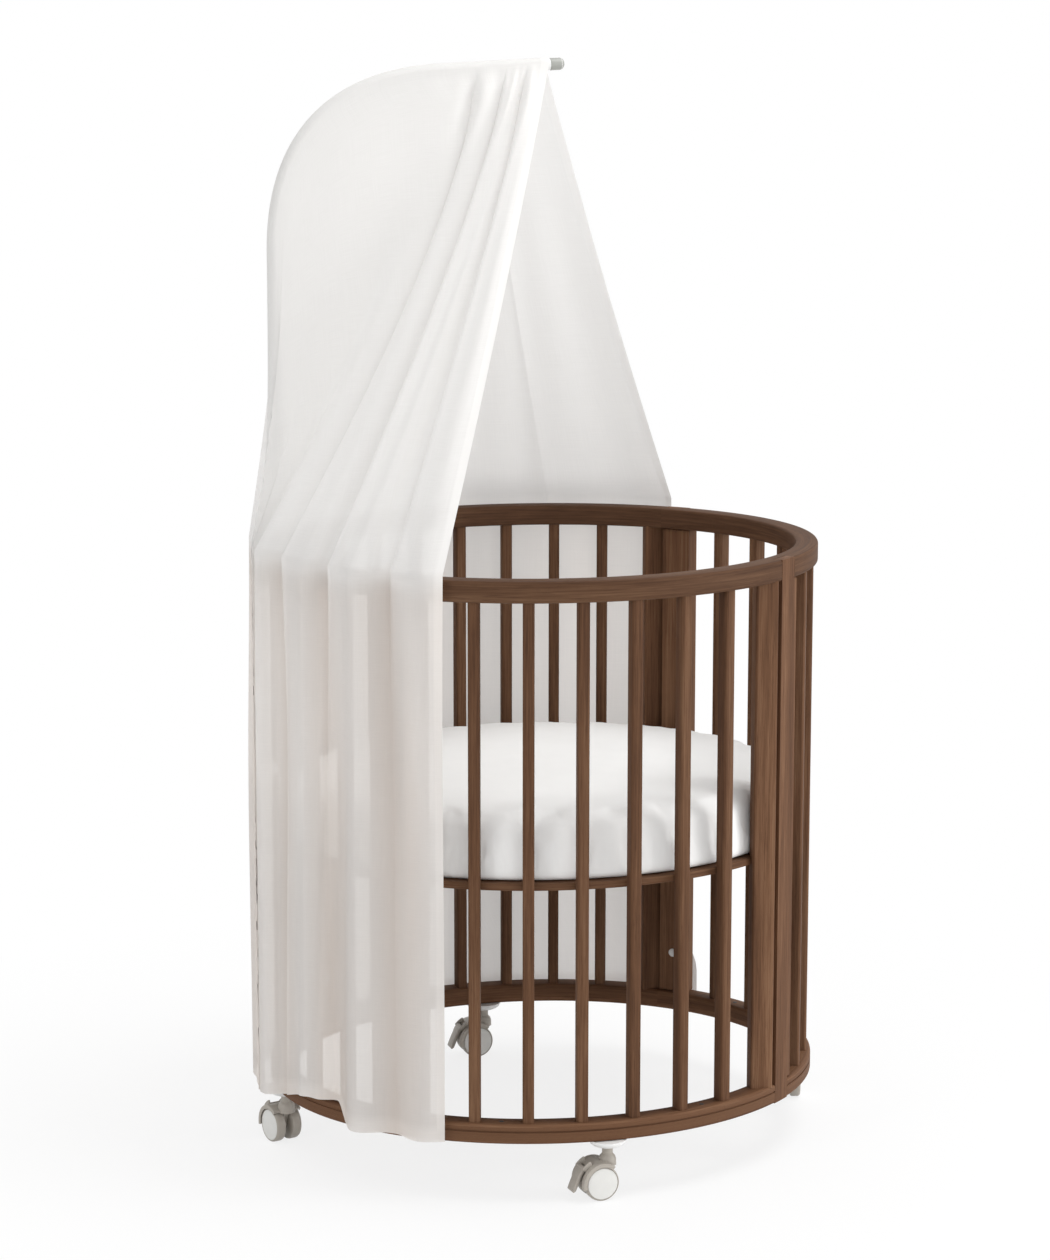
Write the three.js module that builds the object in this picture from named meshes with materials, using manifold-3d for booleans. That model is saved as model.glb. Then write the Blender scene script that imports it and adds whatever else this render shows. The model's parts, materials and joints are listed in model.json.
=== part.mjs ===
// Oval baby crib on casters with a canopy: four curved slatted panels, a height-adjustable base,
// a mattress, four twin-wheel casters with brake levers, and a sheer canopy on a bent rod.
// Millimetres, +Z up, +X towards the end without the rod, floor at z = 0.
import * as THREE from "three";
import { mergeVertices } from "three/addons/utils/BufferGeometryUtils.js";
import Module from "manifold-3d";

const wasm = await Module();
wasm.setup();

// Driving dimensions
const cribLength = 800; // over the rails' outer faces, along X
const cribWidth = 712; // over the rails' outer faces, along Y
const cribHeight = 870; // top of the top rail above the floor
const railDepth = 32; // radial thickness of the rails
const topRailHeight = 30;
const bottomRailHeight = 28;
const bottomRailUnderside = 84; // above the floor
const railEdge = 3; // rounding of the rails' long edges
const beadDrop = 9; // the bead's shadow groove below the bottom rail's top
const beadDepth = 1.6;
const beadWidth = 2.4;
const railSteps = 14;

const fit = 0.3; // clearance between pieces that seat on each other
const slatWidth = 16;
const slatDepth = 20;
const slatEdge = 3;
const slatPitch = 74; // along the rails' centre line
const slatsPerPanel = 6;
const tenonLength = 10;
const tenonShoulder = 2; // how much the tenon is smaller than the slat on each side

const boardWidth = 33; // end boards of the front and back panels
const boardDepth = 20;
const postWidth = 46; // end posts of the left and right panels
const postDepth = 26; // from the outer face inwards
const lapDepth = 15; // outer half of the half-lap joint, flush with the rails
const postSetBack = 1; // the inner half stands this far from the seam
const lapWidth = 34; // full-height part of the post, measured from the seam

const baseUnderside = 437; // above the floor
const baseThickness = 10;
const baseRingWidth = 34;
const baseSlatWidth = 46;
const baseSlatGap = 44;
const baseClearance = 0.5; // from the slats' inner faces

const mattressHeight = 100;
const mattressClearance = 6; // from the slats' inner faces
const mattressEdge = 22;
const mattressFoot = 8; // rounding of the lower edge
const mattressCrown = 8;

const wheelDiameter = 50;
const wheelWidth = 15;
const tyreEdge = 2.5;
const discDiameter = 34; // pale disc in the wheel's face
const discInset = 1.4;
const wheelGap = 11; // between the twin wheels, filled by the hood's web
const webClearance = 1.2;
const axleDiameter = 6;
const axleClearance = 0.35;
const casterTrail = 15; // swivel axis to wheel axle
const hoodClearance = 1.6; // between the tyres and the hood
const hoodThickness = 2.6;
const hoodTop = 62; // above the floor
const neckDiameter = 17;
const cupDiameter = 54;
const cupThickness = 11;
const stemDiameter = 10;
const stemLength = 16; // inside the bottom rail
const leverWidth = 20;
const leverThickness = 4;
const leverToe = 43; // from the axle to the lever's toe
const leverPinDiameter = 4;
const leverPinClearance = 0.3;
const earThickness = 2.6;

const rodDiameter = 16;
const rodStandOff = 0.5; // rod to the rail's outer face
const rodFoot = 560; // lower end of the rod above the floor
const rodJogStart = 888; // above the rail the rod steps in over it
const rodJogHeight = 100;
const rodJogReach = 21;
const rodBendStart = 1290; // where the upright starts to bend
const rodBendReach = 240; // how far the bend leans in over the crib
const rodArmHeight = 1538; // arm's centre where the bend ends
const rodTipRise = 8;
const rodBendFullness = 0.64; // 0.55 is a round bend, more is squarer
const rodTipX = 26;
const hookDrop = 20; // how far the rod's hook reaches down inside the top rail
const hookThickness = 5;
const hookWidth = 40;
const bumperLength = 106;
const bumperHeight = 14;

const canopyThickness = 3;
const canopyStandOff = 14; // cloth to the rails' outer faces
const canopyPoleStandOff = 25; // the same at the rod, which stands outside the rail
const canopyPoleSpan = 14; // angle over which the cloth bulges round the rod
const canopyPoleFlank = 2.4; // angle from the rod to the cloth that passes it on either side
const canopyPoleShare = 0.93; // past this share of the rod the cloth turns round the pole
const canopyRimLift = 10; // cloth above the top rail where it turns down
const canopyHem = 88; // above the floor
const canopyRodGap = 1.5;
const canopyTipGap = 20; // bare end of the rod
const canopyFrontAngle = 237; // where the front edge crosses the rail, counted from +X
const canopyBackAngle = 47.5;
const canopyFrontGather = 80; // length of the rod that carries most of the front half
const canopyBackGather = 250;
const canopyGatherPower = 1.5;
const canopyEdgeSweep = 1.08; // above 1 the cloth falls from the rod before it spreads
const canopyPanelSweep = 1.6; // the same far from the edges
const canopyPoleSweep = 4.5;
const canopyFoldDepth = 18;
const canopyFoldPitch = 0.28; // of the way from the pole to the edge
const canopyColumns = 30;
const canopyUpperRows = 5;

const halfLength = cribLength / 2;
const halfWidth = cribWidth / 2;
const bottomRailTop = bottomRailUnderside + bottomRailHeight;
const topRailUnderside = cribHeight - topRailHeight;
const slatInset = (railDepth - slatDepth) / 2; // rail's outer face to the slat's outer face
const degrees = Math.PI / 180;

function toSolid(geometry) {
  const bare = geometry.index ? geometry.clone() : geometry;
  bare.deleteAttribute("normal");
  bare.deleteAttribute("uv");
  const merged = mergeVertices(bare, 1e-4);
  return new wasm.Manifold(
    new wasm.Mesh({
      numProp: 3,
      vertProperties: new Float32Array(merged.attributes.position.array),
      triVerts: new Uint32Array(merged.index.array),
    }),
  );
}

function toGeometry(solid) {
  const mesh = solid.getMesh();
  const geometry = new THREE.BufferGeometry();
  geometry.setAttribute("position", new THREE.BufferAttribute(mesh.vertProperties, 3));
  geometry.setIndex(new THREE.BufferAttribute(mesh.triVerts, 1));
  geometry.computeVertexNormals();
  return geometry;
}

// A solid through rings of points that all have the same count, closed by a cap at each end.
function loft(rings, capPairs = false) {
  const count = rings[0].length;
  const positions = rings.flat().flatMap((p) => [p.x, p.y, p.z]);
  const index = [];
  for (let r = 0; r + 1 < rings.length; r++) {
    for (let i = 0; i < count; i++) {
      const a = r * count + i;
      const b = r * count + ((i + 1) % count);
      index.push(a, b, b + count, a, b + count, a + count);
    }
  }
  const last = (rings.length - 1) * count;
  for (const [i, j, k] of capPairs ? pairedCap(count) : flatCap(rings[0])) {
    index.push(i, k, j, last + i, last + j, last + k);
  }
  const geometry = new THREE.BufferGeometry();
  geometry.setAttribute("position", new THREE.Float32BufferAttribute(positions, 3));
  geometry.setIndex(index);
  const solid = toSolid(geometry);
  return solid.volume() > 0 ? solid : flipped(geometry);
}

function flipped(geometry) {
  const index = geometry.index.array;
  for (let i = 0; i < index.length; i += 3) {
    [index[i + 1], index[i + 2]] = [index[i + 2], index[i + 1]];
  }
  return toSolid(geometry);
}

// Triangles that fill a flat ring, worked out in its own plane.
function flatCap(ring) {
  const centre = ring.reduce((sum, p) => sum.add(p), new THREE.Vector3()).divideScalar(ring.length);
  const normal = new THREE.Vector3();
  ring.forEach((p, i) => {
    const q = ring[(i + 1) % ring.length];
    normal.add(p.clone().sub(centre).cross(q.clone().sub(centre)));
  });
  normal.normalize();
  const across = ring[0].clone().sub(centre).normalize();
  const along = normal.clone().cross(across);
  const flat = ring.map((p) => {
    const arm = p.clone().sub(centre);
    return new THREE.Vector2(arm.dot(across), arm.dot(along));
  });
  return THREE.ShapeUtils.triangulateShape(flat, []);
}

// Triangles that fill a ring which is mirrored about the line through its first and middle points.
function pairedCap(count) {
  const faces = [[0, 1, count - 1]];
  for (let i = 1; i < count / 2 - 1; i++) {
    faces.push([i, i + 1, count - i], [i + 1, count - i - 1, count - i]);
  }
  faces.push([count / 2 - 1, count / 2, count / 2 + 1]);
  return faces;
}

// A solid moved by three.js to a place and turned about Z.
function moved(solid, x, y, z, turn = 0) {
  const geometry = toGeometry(solid);
  geometry.rotateZ(turn);
  geometry.translate(x, y, z);
  return toSolid(geometry);
}

function box(x0, x1, y0, y1, z0, z1) {
  const geometry = new THREE.BoxGeometry(x1 - x0, y1 - y0, z1 - z0);
  geometry.translate((x0 + x1) / 2, (y0 + y1) / 2, (z0 + z1) / 2);
  return toSolid(geometry);
}

function extruded(shape, depth, curveSegments = 6) {
  return new THREE.ExtrudeGeometry(shape, { depth, bevelEnabled: false, curveSegments });
}

// A cylinder along Z between two heights.
function upright(diameter, x, y, z0, z1, segments = 10) {
  const geometry = new THREE.CylinderGeometry(diameter / 2, diameter / 2, z1 - z0, segments);
  geometry.rotateX(Math.PI / 2);
  geometry.translate(x, y, (z0 + z1) / 2);
  return toSolid(geometry);
}

// Point of the oval at an angle, moved inwards from the rails' outer face.
function ovalPoint(angle, inset, z = 0) {
  const c = Math.cos(angle);
  const s = Math.sin(angle);
  const normal = new THREE.Vector2(c * halfWidth, s * halfLength).normalize();
  return new THREE.Vector3(halfLength * c - normal.x * inset, halfWidth * s - normal.y * inset, z);
}

function ovalTurn(angle) {
  return Math.atan2(Math.sin(angle) * halfLength, Math.cos(angle) * halfWidth);
}

// Lengths along the rails' centre line, to place slats at an even pitch.
const ovalTable = (() => {
  const steps = 1440;
  const lengths = [0];
  let before = ovalPoint(0, railDepth / 2);
  for (let i = 1; i <= steps; i++) {
    const next = ovalPoint((i / steps) * 2 * Math.PI, railDepth / 2);
    lengths.push(lengths[i - 1] + next.distanceTo(before));
    before = next;
  }
  return { steps, lengths, total: lengths[steps] };
})();

// Angle of the point that lies a length along the centre line from the middle of a panel.
function angleAt(panelAngle, length) {
  const { steps, lengths, total } = ovalTable;
  const start = lengths[Math.round((panelAngle / (2 * Math.PI)) * steps)];
  const wanted = (start + length + total) % total;
  let i = 1;
  while (lengths[i] < wanted) i++;
  const share = (wanted - lengths[i - 1]) / (lengths[i] - lengths[i - 1]);
  return ((i - 1 + share) / steps) * 2 * Math.PI;
}

const panelReach = ovalTable.total / 8; // from a panel's middle to its seams

// A bar that follows the oval between two lengths, with a section given as [inset, z] pairs.
function ovalBar(panelAngle, from, to, section, steps = railSteps) {
  const rings = [];
  for (let i = 0; i <= steps; i++) {
    const angle = angleAt(panelAngle, from + ((to - from) * i) / steps);
    rings.push(section.map(([inset, z]) => ovalPoint(angle, inset, z)));
  }
  return loft(rings);
}

function roundedSection(inset0, inset1, z0, z1, edge) {
  const points = [];
  const corners = [[inset1 - edge, z0 + edge, -90], [inset1 - edge, z1 - edge, 0]];
  corners.push([inset0 + edge, z1 - edge, 90], [inset0 + edge, z0 + edge, 180]);
  for (const [u, v, start] of corners) {
    for (const turn of [0, 45, 90]) {
      const angle = (start + turn) * degrees;
      points.push([u + edge * Math.cos(angle), v + edge * Math.sin(angle)]);
    }
  }
  return points;
}

const panels = [
  { name: "right", angle: 0, posts: true },
  { name: "back", angle: Math.PI / 2, posts: false },
  { name: "left", angle: Math.PI, posts: true },
  { name: "front", angle: 1.5 * Math.PI, posts: false },
];

// Everything upright in a panel: its place along the centre line, width, depth and inset.
function uprights(panel) {
  const list = [];
  for (let i = 0; i < slatsPerPanel; i++) {
    const place = (i - (slatsPerPanel - 1) / 2) * slatPitch;
    list.push({ name: `slat_${i + 1}`, place, width: slatWidth, depth: slatDepth, inset: slatInset });
  }
  if (!panel.posts) {
    const place = panelReach - fit - boardWidth / 2;
    const board = { width: boardWidth, depth: boardDepth, inset: slatInset };
    list.push({ name: "board_1", place: -place, ...board }, { name: "board_2", place, ...board });
  }
  return list;
}

// A straight upright with rounded edges and a tenon at each end: x runs inwards from its outer
// face and y along the panel. With a growth it is the cutter for its own mortises.
function uprightSolid(piece, growth = 0) {
  const w = piece.width / 2;
  const d = piece.depth;
  const low = bottomRailTop + fit;
  const high = topRailUnderside - fit;
  const shoulder = tenonShoulder - growth;
  const reach = tenonLength + growth;
  const tenon = box(shoulder, d - shoulder, shoulder - w, w - shoulder, low - reach, high + reach);
  if (growth) return tenon;
  const outline = new THREE.Shape();
  outline.absarc(d - slatEdge, slatEdge - w, slatEdge, -Math.PI / 2, 0);
  outline.absarc(d - slatEdge, w - slatEdge, slatEdge, 0, Math.PI / 2);
  outline.absarc(slatEdge, w - slatEdge, slatEdge, Math.PI / 2, Math.PI);
  outline.absarc(slatEdge, slatEdge - w, slatEdge, Math.PI, 1.5 * Math.PI);
  const shaft = extruded(outline, high - low, 1);
  shaft.translate(0, 0, low);
  return toSolid(shaft).add(tenon);
}

// Where an upright stands: its outer face's middle, and the turn that points its x inwards.
function standing(panel, piece) {
  const angle = angleAt(panel.angle, piece.place);
  return { at: ovalPoint(angle, piece.inset), turn: ovalTurn(angle) + Math.PI };
}

function railSection(bottom) {
  const z0 = bottom ? bottomRailUnderside : topRailUnderside;
  const z1 = bottom ? bottomRailTop : cribHeight;
  const section = roundedSection(0, railDepth, z0, z1, railEdge);
  if (!bottom) return section;
  const groove = z1 - beadDrop;
  const before = section.length - 3;
  const bead = [[0, groove], [beadDepth, groove - beadWidth / 2], [0, groove - beadWidth]];
  section.splice(before, 0, ...bead);
  return section;
}

// One post of the left and right panels: its outer half runs the full height and laps over
// the rails' ends, its inner half stands between the rails.
function postParts(side) {
  const outer = side * (panelReach - fit);
  const lapEdge = side * (panelReach - fit - lapWidth);
  const innerEdge = side * (panelReach - fit - postWidth);
  const coreEdge = outer - side * postSetBack;
  return { outer, lapEdge, innerEdge, coreEdge };
}

function postSolid(panel, side) {
  const { outer, lapEdge, innerEdge, coreEdge } = postParts(side);
  const bar = (from, to, section) =>
    ovalBar(panel.angle, Math.min(from, to), Math.max(from, to), section, 3);
  const tongue = roundedSection(0, lapDepth, bottomRailUnderside, cribHeight, 1);
  const low = bottomRailTop + fit;
  const high = topRailUnderside - fit;
  const core = roundedSection(2, postDepth, low, high, 2);
  return bar(outer, lapEdge, tongue).add(bar(coreEdge, innerEdge, core));
}

function postNotch(panel, side, bottom) {
  const { lapEdge } = postParts(side);
  const past = side * (panelReach + 5);
  const from = Math.min(lapEdge - side * fit, past);
  const to = Math.max(lapEdge - side * fit, past);
  const z0 = (bottom ? bottomRailUnderside : topRailUnderside) - 5;
  const z1 = (bottom ? bottomRailTop : cribHeight) + 5;
  const depth = lapDepth + fit;
  return ovalBar(panel.angle, from, to, [[depth, z0], [depth, z1], [-5, z1], [-5, z0]], 3);
}

function railSolid(panel, bottom) {
  const reach = panelReach - fit / 2;
  let rail = ovalBar(panel.angle, -reach, reach, railSection(bottom));
  for (const piece of uprights(panel)) {
    const { at, turn } = standing(panel, piece);
    rail = rail.subtract(moved(uprightSolid(piece, fit), at.x, at.y, 0, turn));
  }
  if (panel.posts) {
    rail = rail.subtract(postNotch(panel, -1, bottom)).subtract(postNotch(panel, 1, bottom));
  }
  return bottom ? rail.subtract(stemHole(panel)) : rail;
}

const innerInset = slatInset + slatDepth; // outer face to the slats' inner faces
const postInner = Math.max(postDepth, innerInset);

function ovalRing(inset, z, count = 40) {
  const ring = [];
  for (let i = 0; i < count; i++) ring.push(ovalPoint((i / count) * 2 * Math.PI, inset, z));
  return ring;
}

function ovalSlab(inset, z0, z1) {
  return loft([ovalRing(inset, z0), ovalRing(inset, z1)]);
}

function baseSolid() {
  const outerInset = postInner + baseClearance;
  const z0 = baseUnderside;
  const z1 = baseUnderside + baseThickness;
  const hole = ovalSlab(outerInset + baseRingWidth, z0 - 1, z1 + 1);
  const ring = ovalSlab(outerInset, z0, z1).subtract(hole);
  const pitch = baseSlatWidth + baseSlatGap;
  const count = 2 * Math.floor((halfLength - outerInset - baseRingWidth) / pitch) + 1;
  let slats = ring;
  for (let i = 0; i < count; i++) {
    const x = (i - (count - 1) / 2) * pitch;
    const reach = halfWidth;
    slats = slats.add(box(x - baseSlatWidth / 2, x + baseSlatWidth / 2, -reach, reach, z0, z1));
  }
  return slats.intersect(ovalSlab(outerInset, z0 - 1, z1 + 1));
}

function mattressSolid() {
  const z0 = baseUnderside + baseThickness + fit;
  const inset = innerInset + mattressClearance;
  const rings = [];
  for (const turn of [0, 45, 90]) {
    const pull = 1 - Math.sin(turn * degrees);
    const rise = 1 - Math.cos(turn * degrees);
    rings.push(ovalRing(inset + mattressFoot * pull, z0 + mattressFoot * rise));
  }
  const shoulderTop = z0 + mattressHeight - mattressCrown;
  for (const turn of [0, 30, 60, 90]) {
    const rise = Math.sin(turn * degrees);
    const pull = 1 - Math.cos(turn * degrees);
    rings.push(ovalRing(inset + mattressEdge * pull, shoulderTop - mattressEdge * (1 - rise)));
  }
  rings.push(ovalRing(inset + 4 * mattressEdge, shoulderTop + mattressCrown * 0.7));
  rings.push(ovalRing(inset + 8 * mattressEdge, shoulderTop + mattressCrown));
  return loft(rings);
}

const wheelRadius = wheelDiameter / 2;
const wheelsWide = 2 * wheelWidth + wheelGap;
const webWidth = wheelGap - 2 * webClearance;
const leverAngle = 42 * degrees; // of the lever's pin, above the axle on the trailing side
const earSpan = 22 * degrees; // how far the ears reach up the hood
const hoodFront = 170 * degrees; // where the hood ends over the leading side
const leverRadius = wheelRadius + hoodClearance + hoodThickness + 3;
const leverPin = {
  x: casterTrail + leverRadius * Math.cos(leverAngle),
  z: wheelRadius + leverRadius * Math.sin(leverAngle),
};

// The swivel axis is the caster's own z axis, and the wheels trail towards +x. Y is the axle.
function sideways(shape, width, segments = 6) {
  const geometry = extruded(shape, width, segments);
  geometry.rotateX(Math.PI / 2);
  geometry.translate(0, width / 2, 0);
  return toSolid(geometry);
}

function crossPin(diameter, x, z, width, segments = 8) {
  const geometry = new THREE.CylinderGeometry(diameter / 2, diameter / 2, width, segments);
  geometry.translate(x, 0, z);
  return toSolid(geometry);
}

function wheelsSolid() {
  const r = wheelRadius;
  const profile = [[0, 0], [r - tyreEdge, 0], [r, tyreEdge], [r, wheelWidth - tyreEdge]];
  profile.push([r - tyreEdge, wheelWidth], [discDiameter / 2 + 1, wheelWidth]);
  profile.push([discDiameter / 2, wheelWidth - discInset], [0, wheelWidth - discInset / 2]);
  const wheel = new THREE.LatheGeometry(profile.map(([x, y]) => new THREE.Vector2(x, y)), 18);
  wheel.translate(0, wheelGap / 2, 0);
  const mirrored = wheel.clone().rotateX(Math.PI);
  const axle = crossPin(axleDiameter, 0, 0, wheelGap + 2);
  const pair = toSolid(wheel).add(toSolid(mirrored)).add(axle);
  return moved(pair, casterTrail, 0, wheelRadius);
}

function hoodSolid() {
  const inner = wheelRadius + hoodClearance;
  const outer = inner + hoodThickness;
  const fender = new THREE.Shape();
  const rear = leverAngle + earSpan * 0.4;
  fender.absarc(casterTrail, wheelRadius, outer, rear, hoodFront);
  fender.absarc(casterTrail, wheelRadius, inner, hoodFront, rear, true);
  const web = new THREE.Shape();
  web.absarc(casterTrail, wheelRadius, 8, -Math.PI, 0);
  web.absarc(casterTrail, wheelRadius, inner + 1, leverAngle + earSpan * 0.4, hoodFront);
  const neckBase = wheelRadius + Math.sqrt(inner ** 2 - (casterTrail / 2) ** 2) - 6;
  const cupSeat = bottomRailUnderside - cupThickness - fit;
  const neck = upright(neckDiameter, 0, 0, neckBase, cupSeat);
  const boss = upright(neckDiameter + 8, 0, 0, neckBase, hoodTop);
  const tyres = crossPin(2 * inner, casterTrail, wheelRadius, 2 * wheelsWide, 16);
  const middle = box(-wheelDiameter, wheelDiameter, -webWidth / 2, webWidth / 2, 0, 2 * hoodTop);
  const stem = upright(stemDiameter, 0, 0, cupSeat - 1, bottomRailUnderside + stemLength);
  const ears = earSolid(1).add(earSolid(-1));
  const shell = sideways(fender, wheelsWide, 7).add(neck).add(boss).subtract(tyres.subtract(middle));
  const axleHole = crossPin(axleDiameter + 2 * axleClearance, casterTrail, wheelRadius, 40);
  return shell.add(sideways(web, webWidth, 4)).add(stem).add(ears).subtract(axleHole);
}

function earSolid(side) {
  const centre = side * (leverWidth / 2 + leverPinClearance + earThickness / 2);
  const ear = crossPin(leverPinDiameter + 5, leverPin.x, leverPin.z, earThickness);
  const holeDiameter = leverPinDiameter + 2 * leverPinClearance;
  const arm = new THREE.Shape();
  const inner = wheelRadius + hoodClearance;
  const outer = leverRadius + 3;
  arm.absarc(casterTrail, wheelRadius, outer, leverAngle, leverAngle + earSpan);
  arm.absarc(casterTrail, wheelRadius, inner, leverAngle + earSpan, leverAngle, true);
  const hole = crossPin(holeDiameter, leverPin.x, leverPin.z, 4 * earThickness);
  const solid = ear.add(sideways(arm, earThickness, 2)).subtract(hole);
  return moved(solid, 0, centre, 0);
}

// The lever hangs on its pin behind the wheels and flares out to a toe that is pressed down.
function leverSolid() {
  const inner = wheelRadius + hoodClearance + 1;
  const top = leverAngle / degrees - 2;
  const at = (radius, turn) => [
    casterTrail + radius * Math.cos(turn * degrees),
    wheelRadius + radius * Math.sin(turn * degrees),
  ];
  const shape = new THREE.Shape();
  shape.moveTo(...at(inner, top));
  shape.quadraticCurveTo(...at(inner + 1, 12), ...at(leverToe - 7, -13));
  shape.lineTo(...at(leverToe, -15));
  shape.lineTo(...at(leverToe + 1, -10));
  shape.quadraticCurveTo(...at(inner + leverThickness + 3, 12), ...at(leverRadius + 2, top));
  const reach = 2 * (leverWidth / 2 + leverPinClearance + earThickness);
  const pin = crossPin(leverPinDiameter, leverPin.x, leverPin.z, reach);
  const knuckle = crossPin(leverPinDiameter + 3, leverPin.x, leverPin.z, leverWidth);
  return sideways(shape, leverWidth, 5).add(knuckle).add(pin);
}

// White cup under the rail that takes the caster's stem.
function cupSolid() {
  const top = bottomRailUnderside - fit;
  const r = cupDiameter / 2;
  const hole = stemDiameter / 2 + fit;
  const profile = [[hole, top - cupThickness], [r - 5, top - cupThickness]];
  profile.push([r - 1.5, top - cupThickness + 2], [r, top - cupThickness + 5], [r, top], [hole, top]);
  const points = [...profile, profile[0]].map(([x, z]) => new THREE.Vector2(x, z));
  const geometry = new THREE.LatheGeometry(points, 16);
  geometry.rotateX(Math.PI / 2);
  return toSolid(geometry);
}

// Where each caster stands, and the way its wheels trail at rest.
const casters = [
  { name: "front", angle: 1.5 * Math.PI, trail: 187 },
  { name: "left", angle: Math.PI, trail: 108 },
  { name: "back", angle: Math.PI / 2, trail: 183 },
  { name: "right", angle: 0, trail: 75 },
];

function stemHole(panel) {
  const at = ovalPoint(panel.angle, railDepth / 2);
  const depth = bottomRailUnderside + stemLength + fit;
  return upright(stemDiameter + 2 * fit, at.x, at.y, bottomRailUnderside - 2, depth);
}

const rodX = -(halfLength + rodStandOff + rodDiameter / 2);

function rodPath() {
  const poleX = rodX + rodJogReach;
  const bendEnd = new THREE.Vector3(poleX + rodBendReach, 0, rodArmHeight);
  const bendStart = new THREE.Vector3(poleX, 0, rodBendStart);
  const jogStart = new THREE.Vector3(rodX, 0, rodJogStart);
  const jogEnd = new THREE.Vector3(poleX, 0, rodJogStart + rodJogHeight);
  const half = new THREE.Vector3(0, 0, rodJogHeight / 2);
  const tip = new THREE.Vector3(rodTipX, 0, rodArmHeight + rodTipRise);
  const slope = tip.clone().sub(bendEnd).normalize();
  const rise = (rodArmHeight - rodBendStart) * rodBendFullness;
  const path = new THREE.CurvePath();
  path.add(new THREE.LineCurve3(new THREE.Vector3(rodX, 0, rodFoot), jogStart));
  const over = jogEnd.clone().sub(half);
  path.add(new THREE.CubicBezierCurve3(jogStart, jogStart.clone().add(half), over, jogEnd));
  path.add(new THREE.LineCurve3(jogEnd, bendStart));
  const lean = bendEnd.clone().addScaledVector(slope, -rodBendReach * rodBendFullness);
  const lift = bendStart.clone().add(new THREE.Vector3(0, 0, rise));
  path.add(new THREE.CubicBezierCurve3(bendStart, lift, lean, bendEnd));
  path.add(new THREE.LineCurve3(bendEnd, tip));
  return path;
}

// Points along the rod: its straights need only their ends, the jog and the bend are stepped.
function rodStations() {
  const [foot, jog, pole, bend, arm] = rodPath().curves;
  return [foot.getPoint(0), ...jog.getPoints(6), ...bend.getPoints(14), arm.getPoint(1)];
}

function rodSolid() {
  const stations = rodStations();
  const sides = 16;
  const rings = stations.map((point, i) => {
    const before = stations[Math.max(i - 1, 0)];
    const after = stations[Math.min(i + 1, stations.length - 1)];
    const along = after.clone().sub(before).normalize();
    const up = new THREE.Vector3(0, 1, 0).cross(along);
    return Array.from({ length: sides }, (unused, k) => {
      const angle = (k / sides) * 2 * Math.PI;
      const offset = up.clone().multiplyScalar((Math.cos(angle) * rodDiameter) / 2);
      offset.y += (Math.sin(angle) * rodDiameter) / 2;
      return point.clone().add(offset);
    });
  });
  return loft(rings).add(hookSolid()).add(bumperSolid());
}

// The hook sits over the top rail and carries the rod.
function hookSolid() {
  const outside = -(halfLength + fit);
  const inside = -(halfLength - railDepth - fit - 2);
  const top = cribHeight + fit;
  const half = hookWidth / 2;
  const bridge = box(rodX, inside + hookThickness, -half, half, top, top + hookThickness);
  const lip = box(inside, inside + hookThickness, -half, half, top - hookDrop, top + 1);
  const plate = box(rodX, outside, -half, half, top - 2 * hookDrop, top + 1);
  return bridge.add(lip).add(plate);
}

// A crossbar at the rod's foot leans on the two middle slats.
function bumperSolid() {
  const middle = angleAt(Math.PI, slatPitch / 2);
  const cornerOut = (slatWidth / 2) * Math.abs(Math.sin(ovalTurn(middle)));
  const face = ovalPoint(middle, slatInset).x - cornerOut - fit;
  const half = bumperLength / 2;
  return box(rodX, face, -half, half, rodFoot, rodFoot + bumperHeight);
}

// The stretch of the rod that carries the cloth, from the start of its bend to its tip.
const canopyPath = (() => {
  const path = new THREE.CurvePath();
  path.curves = rodPath().curves.slice(-2);
  return path;
})();
const canopyReach = canopyPath.getLength() - canopyTipGap;

function softStep(low, high, value) {
  return THREE.MathUtils.smoothstep(value, low, high);
}

// Share of the way from the pole back to the cloth's edge that lies under a point of the rod.
function spread(front, share) {
  const gather = front ? canopyFrontGather : canopyBackGather;
  const at = (length) => Math.exp(-((length / gather) ** canopyGatherPower));
  return (at(share * canopyReach) - at(canopyReach)) / (1 - at(canopyReach));
}

// Each fold rises quickly from its valley and falls slowly to the next one.
function foldHeight(opened) {
  const phase = (opened / canopyFoldPitch + 0.3) % 1;
  return canopyFoldDepth * Math.sin(Math.PI * phase ** 0.65) * softStep(0, 0.15, opened);
}

function rimPoint(angle, fold) {
  const fromPole = Math.abs(angle - Math.PI) / (canopyPoleSpan * degrees);
  const bulge = (canopyPoleStandOff - canopyStandOff) * Math.exp(-(fromPole ** 2));
  return ovalPoint(angle, -(canopyStandOff + bulge + fold), cribHeight + canopyRimLift);
}

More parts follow.
